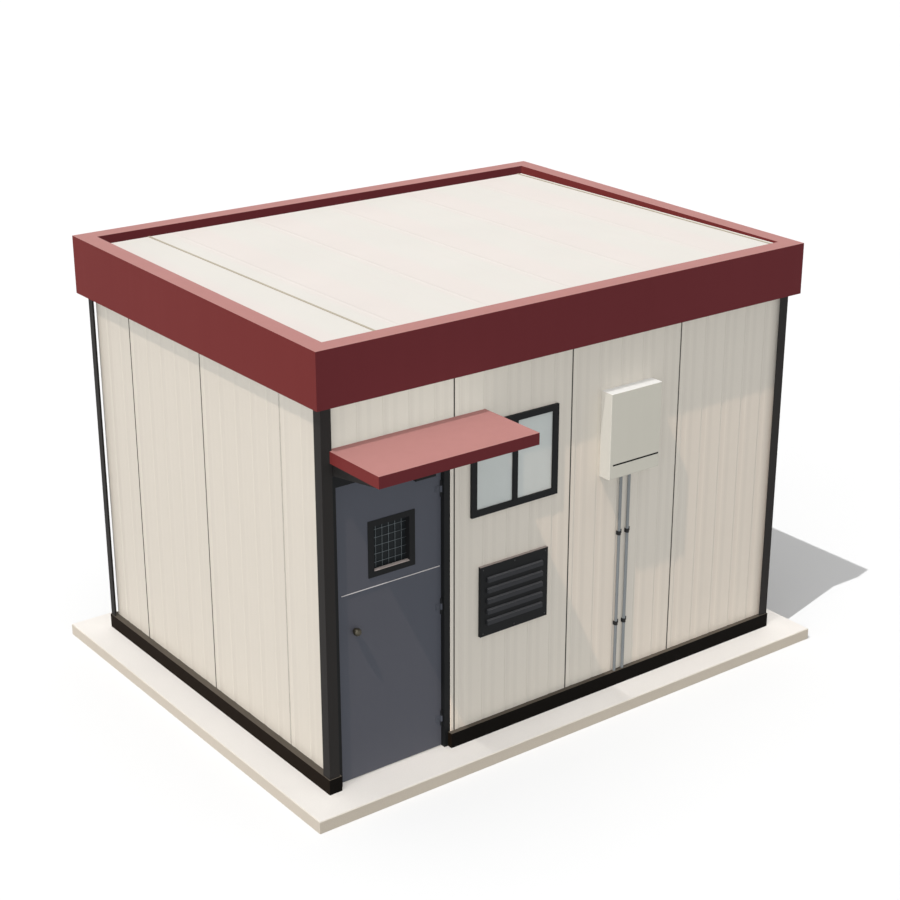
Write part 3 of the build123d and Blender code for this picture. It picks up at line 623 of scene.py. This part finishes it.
def concrete(name, colours, rim_shade, rim):
    """Trowelled concrete with fine aggregate, pores and slow colour changes, darker at its sides, lighter on
    its left side as painted light, and with painted shade that darkens its top towards the outer edge.
    """
    material, tree, shader, place = new_material(name, roughness=0.85, specular=0.3)
    normal = face_normal(tree)
    top = use_group(tree, "sky_facing_mask", {"Vector": place, "Normal": normal, "Patchiness": 0.0})
    low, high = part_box("base_slab")
    # Painted shade: the top grows darker from the walls out to the plinth's edge, to even out the light that
    # the walls hold off near them.
    rim_darkening = calc(tree, "SUBTRACT", 1.0, calc(tree, "MULTIPLY", painted_rim_shade(tree, place, low, high, rim), rim_shade))
    base = mixed_colour(tree, top["Mask"], turned_left(tree, normal, colours.slab_edge, colours.slab_lit_left),
                        scaled_colour(tree, opaque(colours.slab), rim_darkening))
    cloud = swing(tree, place, scale=2.2, detail=5.0)
    sand = swing(tree, place, scale=160.0, detail=3.0)
    cells = add_node(tree, "ShaderNodeTexVoronoi", {"Vector": place, "Scale": 70.0, "Randomness": 1.0})
    pores = share_between(tree, cells.outputs["Distance"], 0.06, 0.16)
    shade = times_plus(tree, cloud, 0.10, calc(tree, "MULTIPLY", sand, 0.10))
    shade = calc(tree, "ADD", shade, calc(tree, "MULTIPLY", pores, 0.06))
    join(tree, shader.inputs["Base Color"], scaled_colour(tree, base, calc(tree, "ADD", shade, 0.95)))
    join(tree, shader.inputs["Roughness"], calc(tree, "SUBTRACT", 0.88, calc(tree, "MULTIPLY", cloud, 0.3)))
    bump(tree, shader, times_plus(tree, sand, 0.0006, calc(tree, "MULTIPLY", pores, 0.0008)))
    return material


def mark(tree, shader, colour, roughness, marks, gloss, shade, base):
    """Lets marks change the gloss of a surface and the shade of its colour."""
    join(tree, shader.inputs["Roughness"], times_plus(tree, marks, gloss, roughness))
    factor = times_plus(tree, marks, shade, base)
    join(tree, shader.inputs["Base Color"], scaled_colour(tree, opaque(colour), factor))


def glass(name, colour, transmission, roughness, specular=0.5):
    """Window glass with faint smears in its gloss."""
    material, tree, shader, place = new_material(name, roughness, specular=specular)
    shader.inputs["Transmission Weight"].default_value = transmission
    shader.inputs["IOR"].default_value = 1.46
    smear = noise(tree, place, scale=1.0, detail=4.0, stretch=(5.0, 5.0, 2.0))
    mark(tree, shader, colour, roughness, smear, gloss=0.08, shade=0.10, base=0.95)
    return material


def bare_metal(name, colour, roughness):
    """Bare or plated metal with a brushed change in its gloss."""
    material, tree, shader, place = new_material(name, roughness, metallic=0.85)
    brush = swing(tree, place, scale=1.0, detail=3.0, stretch=(60.0, 60.0, 900.0))
    mark(tree, shader, colour, roughness, brush, gloss=0.2, shade=0.15, base=1.0)
    return material


def coat_nodes(material, *names):
    """Gives CAD nodes a finish."""
    for name in names:
        for place in nodes[name].material_slots:
            place.material = material


# Shapes


def add_piece(mesh, name, material, body):
    """Makes an object of a finished bmesh, riding on a body."""
    data = bpy.data.meshes.new(name)
    mesh.to_mesh(data)
    mesh.free()
    data.materials.append(material)
    piece = bpy.data.objects.new(name, data)
    bpy.context.scene.collection.objects.link(piece)
    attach(piece, body)
    return piece


def soften(mesh, verts, edge):
    """Rounds the edges that meet at some corners."""
    edges = list({line for vert in verts for line in vert.link_edges})
    bmesh.ops.bevel(mesh, geom=edges, offset=edge, offset_type="OFFSET", segments=2, profile=0.5,
                    affect="EDGES", material=-1)


def draw_out(mesh, faces, along):
    """Draws faces out to a solid and returns their moved corners."""
    pushed = bmesh.ops.extrude_face_region(mesh, geom=faces, use_keep_orig=True)["geom"]
    moved = [item for item in pushed if isinstance(item, bmesh.types.BMVert)]
    bmesh.ops.translate(mesh, vec=along, verts=moved)
    return moved


def add_bar(mesh, low, high, edge):
    """A bar between two corners with rounded edges."""
    verts = bmesh.ops.create_cube(mesh, size=1.0)["verts"]
    low = Vector(low)
    high = Vector(high)
    bmesh.ops.scale(mesh, vec=high - low, verts=verts)
    bmesh.ops.translate(mesh, vec=(low + high) / 2, verts=verts)
    soften(mesh, verts, edge)


def add_profile(mesh, corners, along):
    """A straight length of a profile, given by the corners of its end."""
    verts = [bmesh.ops.create_vert(mesh, co=corner)["vert"][0] for corner in corners]
    face = bmesh.ops.contextual_create(mesh, geom=verts)["faces"][0]
    draw_out(mesh, [face], along)


def add_ring(mesh, low, high, width, edge):
    """A rectangular ring in a wall's plane, from its corner on the pane to its far corner off the pane."""
    low = Vector(low)
    high = Vector(high)
    verts = bmesh.ops.create_grid(mesh, x_segments=1, y_segments=1, size=0.5)["verts"]
    middle = verts[0].link_faces[0]
    bmesh.ops.rotate(mesh, cent=(0, 0, 0), matrix=Matrix.Rotation(math.pi / 2, 3, "X"), verts=verts)
    bmesh.ops.scale(mesh, vec=(high.x - low.x, 1.0, high.z - low.z), verts=verts)
    bmesh.ops.translate(mesh, vec=((low.x + high.x) / 2, low.y, (low.z + high.z) / 2), verts=verts)
    rim = bmesh.ops.inset_region(mesh, faces=[middle], thickness=width, use_even_offset=True,
                                 use_boundary=True)["faces"]
    bmesh.ops.delete(mesh, geom=[middle], context="FACES")
    moved = draw_out(mesh, rim, (0, high.y - low.y, 0))
    bmesh.ops.recalc_face_normals(mesh, faces=mesh.faces[:])
    soften(mesh, moved, edge)


def add_head(mesh, place, radius, height, sides):
    """A screw or bolt head with a socket, seated on a face that looks forward."""
    turn = FORWARD.to_track_quat("Z", "Y").to_matrix().to_4x4()
    seat = Matrix.Translation(Vector(place)) @ turn @ Matrix.Translation((0, 0, height / 2))
    verts = bmesh.ops.create_cone(
        mesh, cap_ends=True, cap_tris=False, segments=sides, radius1=radius, radius2=radius * HEAD_TAPER,
        depth=height, matrix=seat,
    )["verts"]
    faces = {face for vert in verts for face in vert.link_faces}
    top = max(faces, key=lambda face: face.calc_center_median().dot(FORWARD))
    bmesh.ops.inset_region(mesh, faces=[top], thickness=radius * SOCKET_RIM, use_even_offset=True)
    bmesh.ops.translate(mesh, vec=-FORWARD * height * SOCKET_DEPTH, verts=top.verts[:])


def head_mesh(places, radius, height, sides):
    """Screw or bolt heads at some places."""
    mesh = bmesh.new()
    for place in places:
        add_head(mesh, place, radius, height, sides)
    return mesh


# Pieces


class HUT_OT_base(Operator):
    """Finish the plinth and the base rails"""

    bl_idname = "hut.base"
    bl_label = "Plinth and base rails"

    def execute(self, context):
        colours = context.scene.hut_colours
        sizes = context.scene.hut_sizes
        # The plinth takes painted shade on its rim. The rails take painted light on their left side, and on
        # their ledge tops together with dust.
        coat_nodes(concrete("plinth_concrete", colours, rim_shade=0.085, rim=sizes.plinth_shade_rim), "base_slab")
        rail = paint("rail_paint", colours.rail, roughness=0.6, specular=0.03, top_light_and_dust=colours.rail_dust_and_light,
                     patchiness=0.4, left_painted_light=colours.rail_lit_left)
        coat_nodes(rail, "base_rail_front", "base_rail_back", "base_rail_left", "base_rail_right",
                   "roof_ring_beam")
        return {"FINISHED"}


class HUT_OT_walls(Operator):
    """Paint the wall panels and seal their joints"""

    bl_idname = "hut.walls"
    bl_label = "Wall panels"

    def execute(self, context):
        colours = context.scene.hut_colours
        sizes = context.scene.hut_sizes
        # The depth sets the painted light and shade across the grooves; the fade sets a painted light that
        # falls off along each wall.
        front = panel_paint("panel_paint_long_walls", "X", colours, sizes, depth=0.17, fade=0.012)
        side = panel_paint("panel_paint_short_walls", "Y", colours, sizes, depth=0.07, fade=-0.012)
        coat_nodes(front, "front_corner_strip", "front_panel_over_door", "front_strip_beside_door",
                   "front_panel_window", "front_panel_middle", "front_panel_right", "back_wall_panels")
        coat_nodes(side, "left_wall_panels", "right_wall_panels")
        # The sealant in the left wall's joints takes painted shade.
        sealant = paint("joint_sealant", colours.joint, roughness=0.7, grain=0.00005,
                        left_painted_light=colours.joint_shaded_left)
        self.seal_joints(sealant, sizes)
        return {"FINISHED"}

    def seal_joints(self, material, sizes):
        """Sealant strips between neighbouring panels of all four walls."""
        base, top = (corner.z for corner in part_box("front_panel_middle"))
        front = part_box("front_panel_middle")[0].y
        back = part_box("back_wall_panels")[1].y
        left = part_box("left_wall_panels")[0].x
        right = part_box("right_wall_panels")[1].x
        half = sizes.joint_width / 2
        near = -sizes.joint_proud
        far = sizes.joint_depth
        wide = sizes.joint_head / 2
        neck = sizes.joint_chamfer
        lip = half + neck
        profile = ((-wide, near), (wide, near), (wide, 0.0), (lip, 0.0), (half, neck), (half, far),
                   (-half, far), (-half, neck), (-lip, 0.0), (-wide, 0.0))
        rise = (0.0, 0.0, top - base)
        mesh = bmesh.new()
        for joint in (-sizes.panel_width, 0.0, sizes.panel_width):
            add_profile(mesh, [(joint + side, front + deep, base) for side, deep in profile], rise)
            add_profile(mesh, [(joint + side, back - deep, base) for side, deep in profile], rise)
            add_profile(mesh, [(left + deep, joint + side, base) for side, deep in profile], rise)
            add_profile(mesh, [(right - deep, joint + side, base) for side, deep in profile], rise)
        bmesh.ops.recalc_face_normals(mesh, faces=mesh.faces[:])
        add_piece(mesh, "panel_joint_seals", material, "hut")


class HUT_OT_posts(Operator):
    """Paint the corner posts"""

    bl_idname = "hut.posts"
    bl_label = "Corner posts"

    def execute(self, context):
        post = post_paint(context.scene.hut_colours)
        coat_nodes(post, "corner_post_front_left", "corner_post_front_right", "corner_post_back_left",
                   "corner_post_back_right")
        return {"FINISHED"}


class HUT_OT_roof(Operator):
    """Paint the roof sheets and the fascia, and seal the roof's seams"""

    bl_idname = "hut.roof"
    bl_label = "Roof and fascia"

    def execute(self, context):
        colours = context.scene.hut_colours
        sizes = context.scene.hut_sizes
        low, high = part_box("roof_panel_left")
        seam = low.x + sizes.roof_seam_left
        coat_nodes(roof_paint("roof_sheet", colours, sizes, seam), "roof_panel_left", "roof_panel_main")
        # The fascia takes a painted sheen on its top and painted light on its left side.
        fascia = red_paint("fascia_paint", colours, 0.06, colours.fascia_sky_sheen, colours.fascia_lit_left)
        coat_nodes(fascia, "fascia_front", "fascia_back", "fascia_left", "fascia_right")
        wide = sizes.roof_cover / 2
        slim = sizes.joint_width / 2
        top = high.z + sizes.roof_cover_rise
        foot = high.z - sizes.roof_cover_root
        edge = sizes.soft_edge
        mesh = bmesh.new()
        for place in (seam, seam + sizes.roof_sheet - sizes.roof_cover_shift):
            add_bar(mesh, (place - wide, low.y, high.z), (place + wide, high.y, top), edge)
            add_bar(mesh, (place - slim, low.y, foot), (place + slim, high.y, high.z + edge), edge / 2)
        cover = paint("roof_cover", colours.roof_seam, roughness=0.6)
        add_piece(mesh, "roof_seam_covers", cover, "hut")
        return {"FINISHED"}


class HUT_OT_door(Operator):
    """Finish the door, its frame and its furniture, with seals and screws"""

    bl_idname = "hut.door"
    bl_label = "Door"

    def execute(self, context):
        colours = context.scene.hut_colours
        sizes = context.scene.hut_sizes
        coat_nodes(frame_paint(colours), "door_jambs", "door_head", "door_window_frame", "door_closer",
                   "door_hinge_knuckles")
        coat_nodes(paint("door_paint", colours.door, roughness=0.5, clouds=0.06, specular=0.15), "door_leaf")
        hinge = paint("hinge_paint", colours.hinge, roughness=0.5, specular=0.1)
        coat_nodes(hinge, "door_hinge_leaves")
        coat_nodes(paint("trim_coat", colours.trim, roughness=0.4), "door_trim_strip")
        coat_nodes(paint("sill_coat", colours.sill, roughness=0.5, specular=0.2), "door_window_sill")
        coat_nodes(bare_metal("mesh_steel", colours.wire, roughness=0.4), "door_window_mesh")
        coat_nodes(bare_metal("knob_metal", colours.knob, roughness=0.42), "door_knobs")
        # Painted shade: the door's pane is near opaque and dark, for the dark room behind it.
        pane = glass("door_glass", colours.vision_pane_shade, transmission=0.05, roughness=0.15, specular=0.05)
        coat_nodes(pane, "door_window_glass")
        rubber = paint("door_rubber", colours.rubber, roughness=0.75)
        self.seal_frame(rubber, sizes)
        self.seal_leaf(rubber, sizes)
        self.fix_hinges(hinge, sizes)
        return {"FINISHED"}

    def seal_frame(self, material, sizes):
        """Soft strips on the stops of the jambs and the head."""
        leaf_low, leaf_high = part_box("door_leaf")
        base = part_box("door_jambs")[0].z
        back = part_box("door_head")[1].y - sizes.stop_depth
        front = back - sizes.seal_height
        edge = sizes.soft_edge
        left = leaf_low.x + edge
        right = leaf_high.x - edge
        top = leaf_high.z - edge
        inner_left = left + sizes.seal_width
        inner_right = right - sizes.seal_width
        mesh = bmesh.new()
        add_bar(mesh, (left, front, base), (inner_left, back, top), edge)
        add_bar(mesh, (inner_right, front, base), (right, back, top), edge)
        add_bar(mesh, (inner_left, front, top - sizes.seal_width), (inner_right, back, top), edge)
        add_piece(mesh, "door_frame_seal", material, "hut")

    def seal_leaf(self, material, sizes):
        """Sweep strip under the leaf."""
        low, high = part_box("door_leaf")
        middle = (low.y + high.y) / 2
        half = sizes.seal_width / 2
        mesh = bmesh.new()
        add_bar(mesh, (low.x + sizes.seal_width, middle - half, low.z - sizes.sweep_height),
                (high.x - sizes.seal_width, middle + half, low.z), sizes.soft_edge)
        add_piece(mesh, "door_sweep", material, "door")

    def fix_hinges(self, material, sizes):
        """Screws in the hinge flaps of the leaf."""
        low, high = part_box("door_hinge_leaves")
        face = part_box("door_leaf")[0].y - sizes.hinge_flap
        levels = (low.z + sizes.hinge_inset, (low.z + high.z) / 2, high.z - sizes.hinge_inset)
        rises = (-sizes.hinge_screw_rise, sizes.hinge_screw_rise)
        inset = low.x + sizes.hinge_screw_inset
        places = [(inset, face, level + rise) for level in levels for rise in rises]
        mesh = head_mesh(places, sizes.screw_radius, sizes.screw_height, sizes.screw_sides)
        add_piece(mesh, "door_hinge_screws", material, "door")


class HUT_OT_window(Operator):
    """Finish the window and add its glazing beads"""

    bl_idname = "hut.window"
    bl_label = "Window"

    def execute(self, context):
        colours = context.scene.hut_colours
        sizes = context.scene.hut_sizes
        coat_nodes(frame_paint(colours), "window_frame")
        # Painted reflection: the panes are mostly opaque and pale, for the bright sky seen in them.
        coat_nodes(glass("window_glass", colours.pane, transmission=0.15, roughness=0.06), "window_panes")
        low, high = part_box("window_panes")
        middle = (low.x + high.x) / 2
        half = sizes.mullion / 2
        mesh = bmesh.new()
        for left, right in ((low.x, middle - half), (middle + half, high.x)):
            for face, proud in ((low.y, -sizes.bead_proud), (high.y, sizes.bead_proud)):
                add_ring(mesh, (left, face, low.z), (right, face + proud, high.z), sizes.bead_width,
                         sizes.soft_edge / 2)
        bead = paint("bead_rubber", colours.rubber, roughness=0.6)
        add_piece(mesh, "window_beads", bead, "hut")
        return {"FINISHED"}


class HUT_OT_vent(Operator):
    """Finish the vent and fix its plate with screws"""

    bl_idname = "hut.vent"
    bl_label = "Vent"

    def execute(self, context):
        colours = context.scene.hut_colours
        sizes = context.scene.hut_sizes
        # Painted light: the plate's top edge and the hoods' tops are painted paler, where light from above
        # falls on them.
        coat_nodes(frame_paint(colours, "vent_paint", colours.plate_top_light), "vent_plate")
        coat_nodes(paint("hood_paint", colours.hood, specular=0.12, top_light_and_dust=colours.hood_top_light, patchiness=0.2),
                   "vent_hoods")
        low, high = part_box("vent_plate")
        inset = sizes.vent_inset
        places = [(x, low.y, z) for x in (low.x + inset, (low.x + high.x) / 2, high.x - inset)
                  for z in (low.z + inset, high.z - inset)]
        mesh = head_mesh(places, sizes.screw_radius, sizes.screw_height, sizes.screw_sides)
        add_piece(mesh, "vent_screws", screw_coat(colours), "hut")
        return {"FINISHED"}


class HUT_OT_meter(Operator):
    """Finish the meter box, its conduits and their clips"""

    bl_idname = "hut.meter"
    bl_label = "Meter box"

    def execute(self, context):
        colours = context.scene.hut_colours
        sizes = context.scene.hut_sizes
        # Painted light: the box is painted paler on its top, which lies in shadow, and lighter on its left
        # side.
        coat_nodes(paint("box_paint", colours.box, roughness=0.5, streaks=0.04, specular=0.3,
                         top_light_and_dust=colours.box_top_light, patchiness=0.06, left_painted_light=colours.box_lit_left), "meter_box")
        coat_nodes(paint("conduit_plastic", colours.conduit, streaks=0.08), "conduits")
        coat_nodes(paint("clip_plastic", colours.clip, roughness=0.6, specular=0.2), "conduit_clips")
        low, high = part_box("meter_box")
        base = low.z + sizes.slot_height
        mesh = bmesh.new()
        add_bar(mesh, (low.x + sizes.slot_inset_left, low.y + sizes.slot_recess, base),
                (high.x - sizes.slot_inset_right, low.y + sizes.slot_depth, base + sizes.slot_width),
                sizes.soft_edge)
        strip = paint("strip_rubber", colours.rubber, roughness=0.7, specular=0.1)
        add_piece(mesh, "meter_box_strip", strip, "hut")
        return {"FINISHED"}


class HUT_OT_canopy(Operator):
    """Paint the canopy and bolt its brackets"""

    bl_idname = "hut.canopy"
    bl_label = "Canopy"

    def execute(self, context):
        colours = context.scene.hut_colours
        sizes = context.scene.hut_sizes
        # The canopy takes a painted sheen on its top and painted light on its left side.
        canopy = red_paint("canopy_paint", colours, 0.05, colours.canopy_sky_sheen, colours.canopy_lit_left)
        coat_nodes(canopy, "canopy_tray", "canopy_soffit")
        coat_nodes(post_paint(colours), "canopy_brackets")
        low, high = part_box("canopy_brackets")
        half = sizes.bracket_plate / 2
        face = high.y - sizes.bracket_sheet
        places = [(middle + side, face, z) for middle in (low.x + half, high.x - half)
                  for side in (-sizes.bolt_side, sizes.bolt_side)
                  for z in (low.z + sizes.bolt_foot, high.z - sizes.bolt_top)]
        mesh = head_mesh(places, sizes.bolt_radius, sizes.bolt_height, sizes.screw_sides)
        add_piece(mesh, "canopy_bolts", screw_coat(colours), "hut")
        return {"FINISHED"}


class HUT_OT_stage(Operator):
    """Set up the camera, the light and a pale floor"""

    bl_idname = "hut.stage"
    bl_label = "Studio stage"

    def execute(self, context):
        stage = context.scene.hut_stage
        self.place_camera(context, stage)
        self.light_sky(context, stage)
        floor = self.lay_floor(context, stage)
        plinth = nodes["base_slab"]
        left = nodes["left_wall_panels"]
        front = [nodes[name] for name in FRONT_FACES]
        slim = [nodes[name] for name in SLIM_EDGES]
        sun = self.place_sun("stage_sun", stage.sun_aim, stage.sun_strength, [plinth, left], "EXCLUDE")
        self.pass_by(sun, slim)
        left_sun = self.place_sun("stage_left_sun", stage.left_aim, stage.left_strength, [left])
        left_sun.data.color = stage.left_colour
        front_sun = self.place_sun("stage_front_sun", stage.sun_aim, stage.front_strength, front)
        front_sun.data.color = stage.front_colour
        self.pass_by(front_sun, slim)
        self.place_sun("stage_floor_sun", stage.sun_aim, stage.floor_strength, [floor])
        self.place_sun("stage_plinth_sun", stage.sun_aim, stage.plinth_sun, [plinth])
        self.place_even("stage_fill", stage.fill_aim, stage.fill_strength)
        for name, aim in SIDES.items():
            self.place_even(f"stage_even_{name}", aim, stage.even_side)
        self.place_even("stage_even_top", DOWN, stage.even_top)
        self.place_even("stage_plinth_light", DOWN, stage.plinth_strength, [plinth])
        context.scene.view_settings.view_transform = "Standard"
        return {"FINISHED"}

    def place_sun(self, name, aim, strength, lit=None, state="INCLUDE"):
        """A far light that falls on all objects, on some only, or on all but those."""
        scene = bpy.context.scene
        sun = bpy.data.objects.new(name, bpy.data.lights.new(name, "SUN"))
        sun.data.energy = strength
        sun.data.angle = scene.hut_stage.sun_spread
        sun.rotation_euler = Vector(aim).to_track_quat("-Z", "Y").to_euler()
        scene.collection.objects.link(sun)
        if lit:
            sun.light_linking.receiver_collection = self.linked(name, lit, state)
        return sun

    def place_even(self, name, aim, strength, lit=None):
        """A soft far light that casts no shadow."""
        light = self.place_sun(name, aim, strength, lit)
        light.data.angle = bpy.context.scene.hut_stage.fill_spread
        light.data.use_shadow = False

    def pass_by(self, light, slim):
        """Lets a light pass by slim edges that would shade the door."""
        light.light_linking.blocker_collection = self.linked(f"{light.name}_passes", slim, "EXCLUDE")

    def linked(self, name, items, state):
        """A collection of objects that a light reaches or leaves out."""
        group = bpy.data.collections.new(name)
        for item in items:
            group.objects.link(item)
        for entry in group.collection_objects:
            entry.light_linking.link_state = state
        return group

    def place_camera(self, context, stage):
        """Camera at the photograph's angle."""
        camera = bpy.data.objects.new("stage_camera", bpy.data.cameras.new("stage_camera"))
        camera.data.lens = stage.camera_lens
        camera.data.clip_end = stage.camera_reach
        camera.location = stage.camera_place
        camera.rotation_euler = Vector(stage.camera_aim).to_track_quat("-Z", "Y").to_euler()
        context.scene.collection.objects.link(camera)
        context.scene.camera = camera

    def light_sky(self, context, stage):
        """Even soft light, seen as plain white."""
        world = bpy.data.worlds.new("stage_sky")
        world.use_nodes = True
        context.scene.world = world
        tree = world.node_tree
        soft = stage.sky_strength
        background = tree.nodes["Background"]
        background.inputs["Color"].default_value = (1.0, 1.0, 1.0, 1.0)
        join(tree, background.inputs["Strength"], times_plus(tree, seen_directly(tree), 1.0 - soft, soft))

    def lay_floor(self, context, stage):
        """Plain pale floor that takes the hut's shadow."""
        mesh = bmesh.new()
        verts = bmesh.ops.create_grid(mesh, x_segments=1, y_segments=1, size=stage.floor_size / 2)["verts"]
        bmesh.ops.translate(mesh, vec=(0, 0, -stage.floor_drop), verts=verts)
        data = bpy.data.meshes.new("stage_floor")
        mesh.to_mesh(data)
        mesh.free()
        floor = bpy.data.objects.new("stage_floor", data)
        context.scene.collection.objects.link(floor)
        material, tree, shader, _ = new_material("stage_floor", roughness=1.0, specular=0.0)
        pale = (stage.floor_tone,) * 3
        thrown = (stage.floor_bounce,) * 3
        seen = mixed_colour(tree, seen_directly(tree), opaque(thrown), opaque(pale))
        join(tree, shader.inputs["Base Color"], seen)
        data.materials.append(material)
        return floor


class HUT_PT_pieces(Panel):
    """Lists the hut's pieces"""

    bl_label = "Prefab Hut"
    bl_idname = "HUT_PT_pieces"
    bl_space_type = "VIEW_3D"
    bl_region_type = "UI"
    bl_category = "Hut"

    def draw(self, context):
        for operator in PIECES:
            self.layout.operator(operator.bl_idname)
        for group in (context.scene.hut_colours, context.scene.hut_sizes, context.scene.hut_stage):
            column = self.layout.column()
            for key in group.bl_rna.properties.keys():
                if key not in ("rna_type", "name"):
                    column.prop(group, key)


PIECES = (HUT_OT_base, HUT_OT_walls, HUT_OT_posts, HUT_OT_roof, HUT_OT_door, HUT_OT_window, HUT_OT_vent,
          HUT_OT_meter, HUT_OT_canopy, HUT_OT_stage)
SETTINGS = {"hut_colours": HutColours, "hut_sizes": HutSizes, "hut_stage": HutStage}


def register():
    """Adds the settings, the operators and the panel."""
    for group in SETTINGS.values():
        bpy.utils.register_class(group)
    for name, group in SETTINGS.items():
        setattr(bpy.types.Scene, name, PointerProperty(type=group))
    for operator in PIECES:
        bpy.utils.register_class(operator)
    bpy.utils.register_class(HUT_PT_pieces)


def unregister():
    """Takes the panel, the operators and the settings out again."""
    bpy.utils.unregister_class(HUT_PT_pieces)
    for operator in reversed(PIECES):
        bpy.utils.unregister_class(operator)
    for name in SETTINGS:
        delattr(bpy.types.Scene, name)
    for group in reversed(SETTINGS.values()):
        bpy.utils.unregister_class(group)


def main():
    """Dresses the hut."""
    register()
    for operator in PIECES:
        category, name = operator.bl_idname.split(".")
        getattr(getattr(bpy.ops, category), name)()


if __name__ == "__main__":
    main()
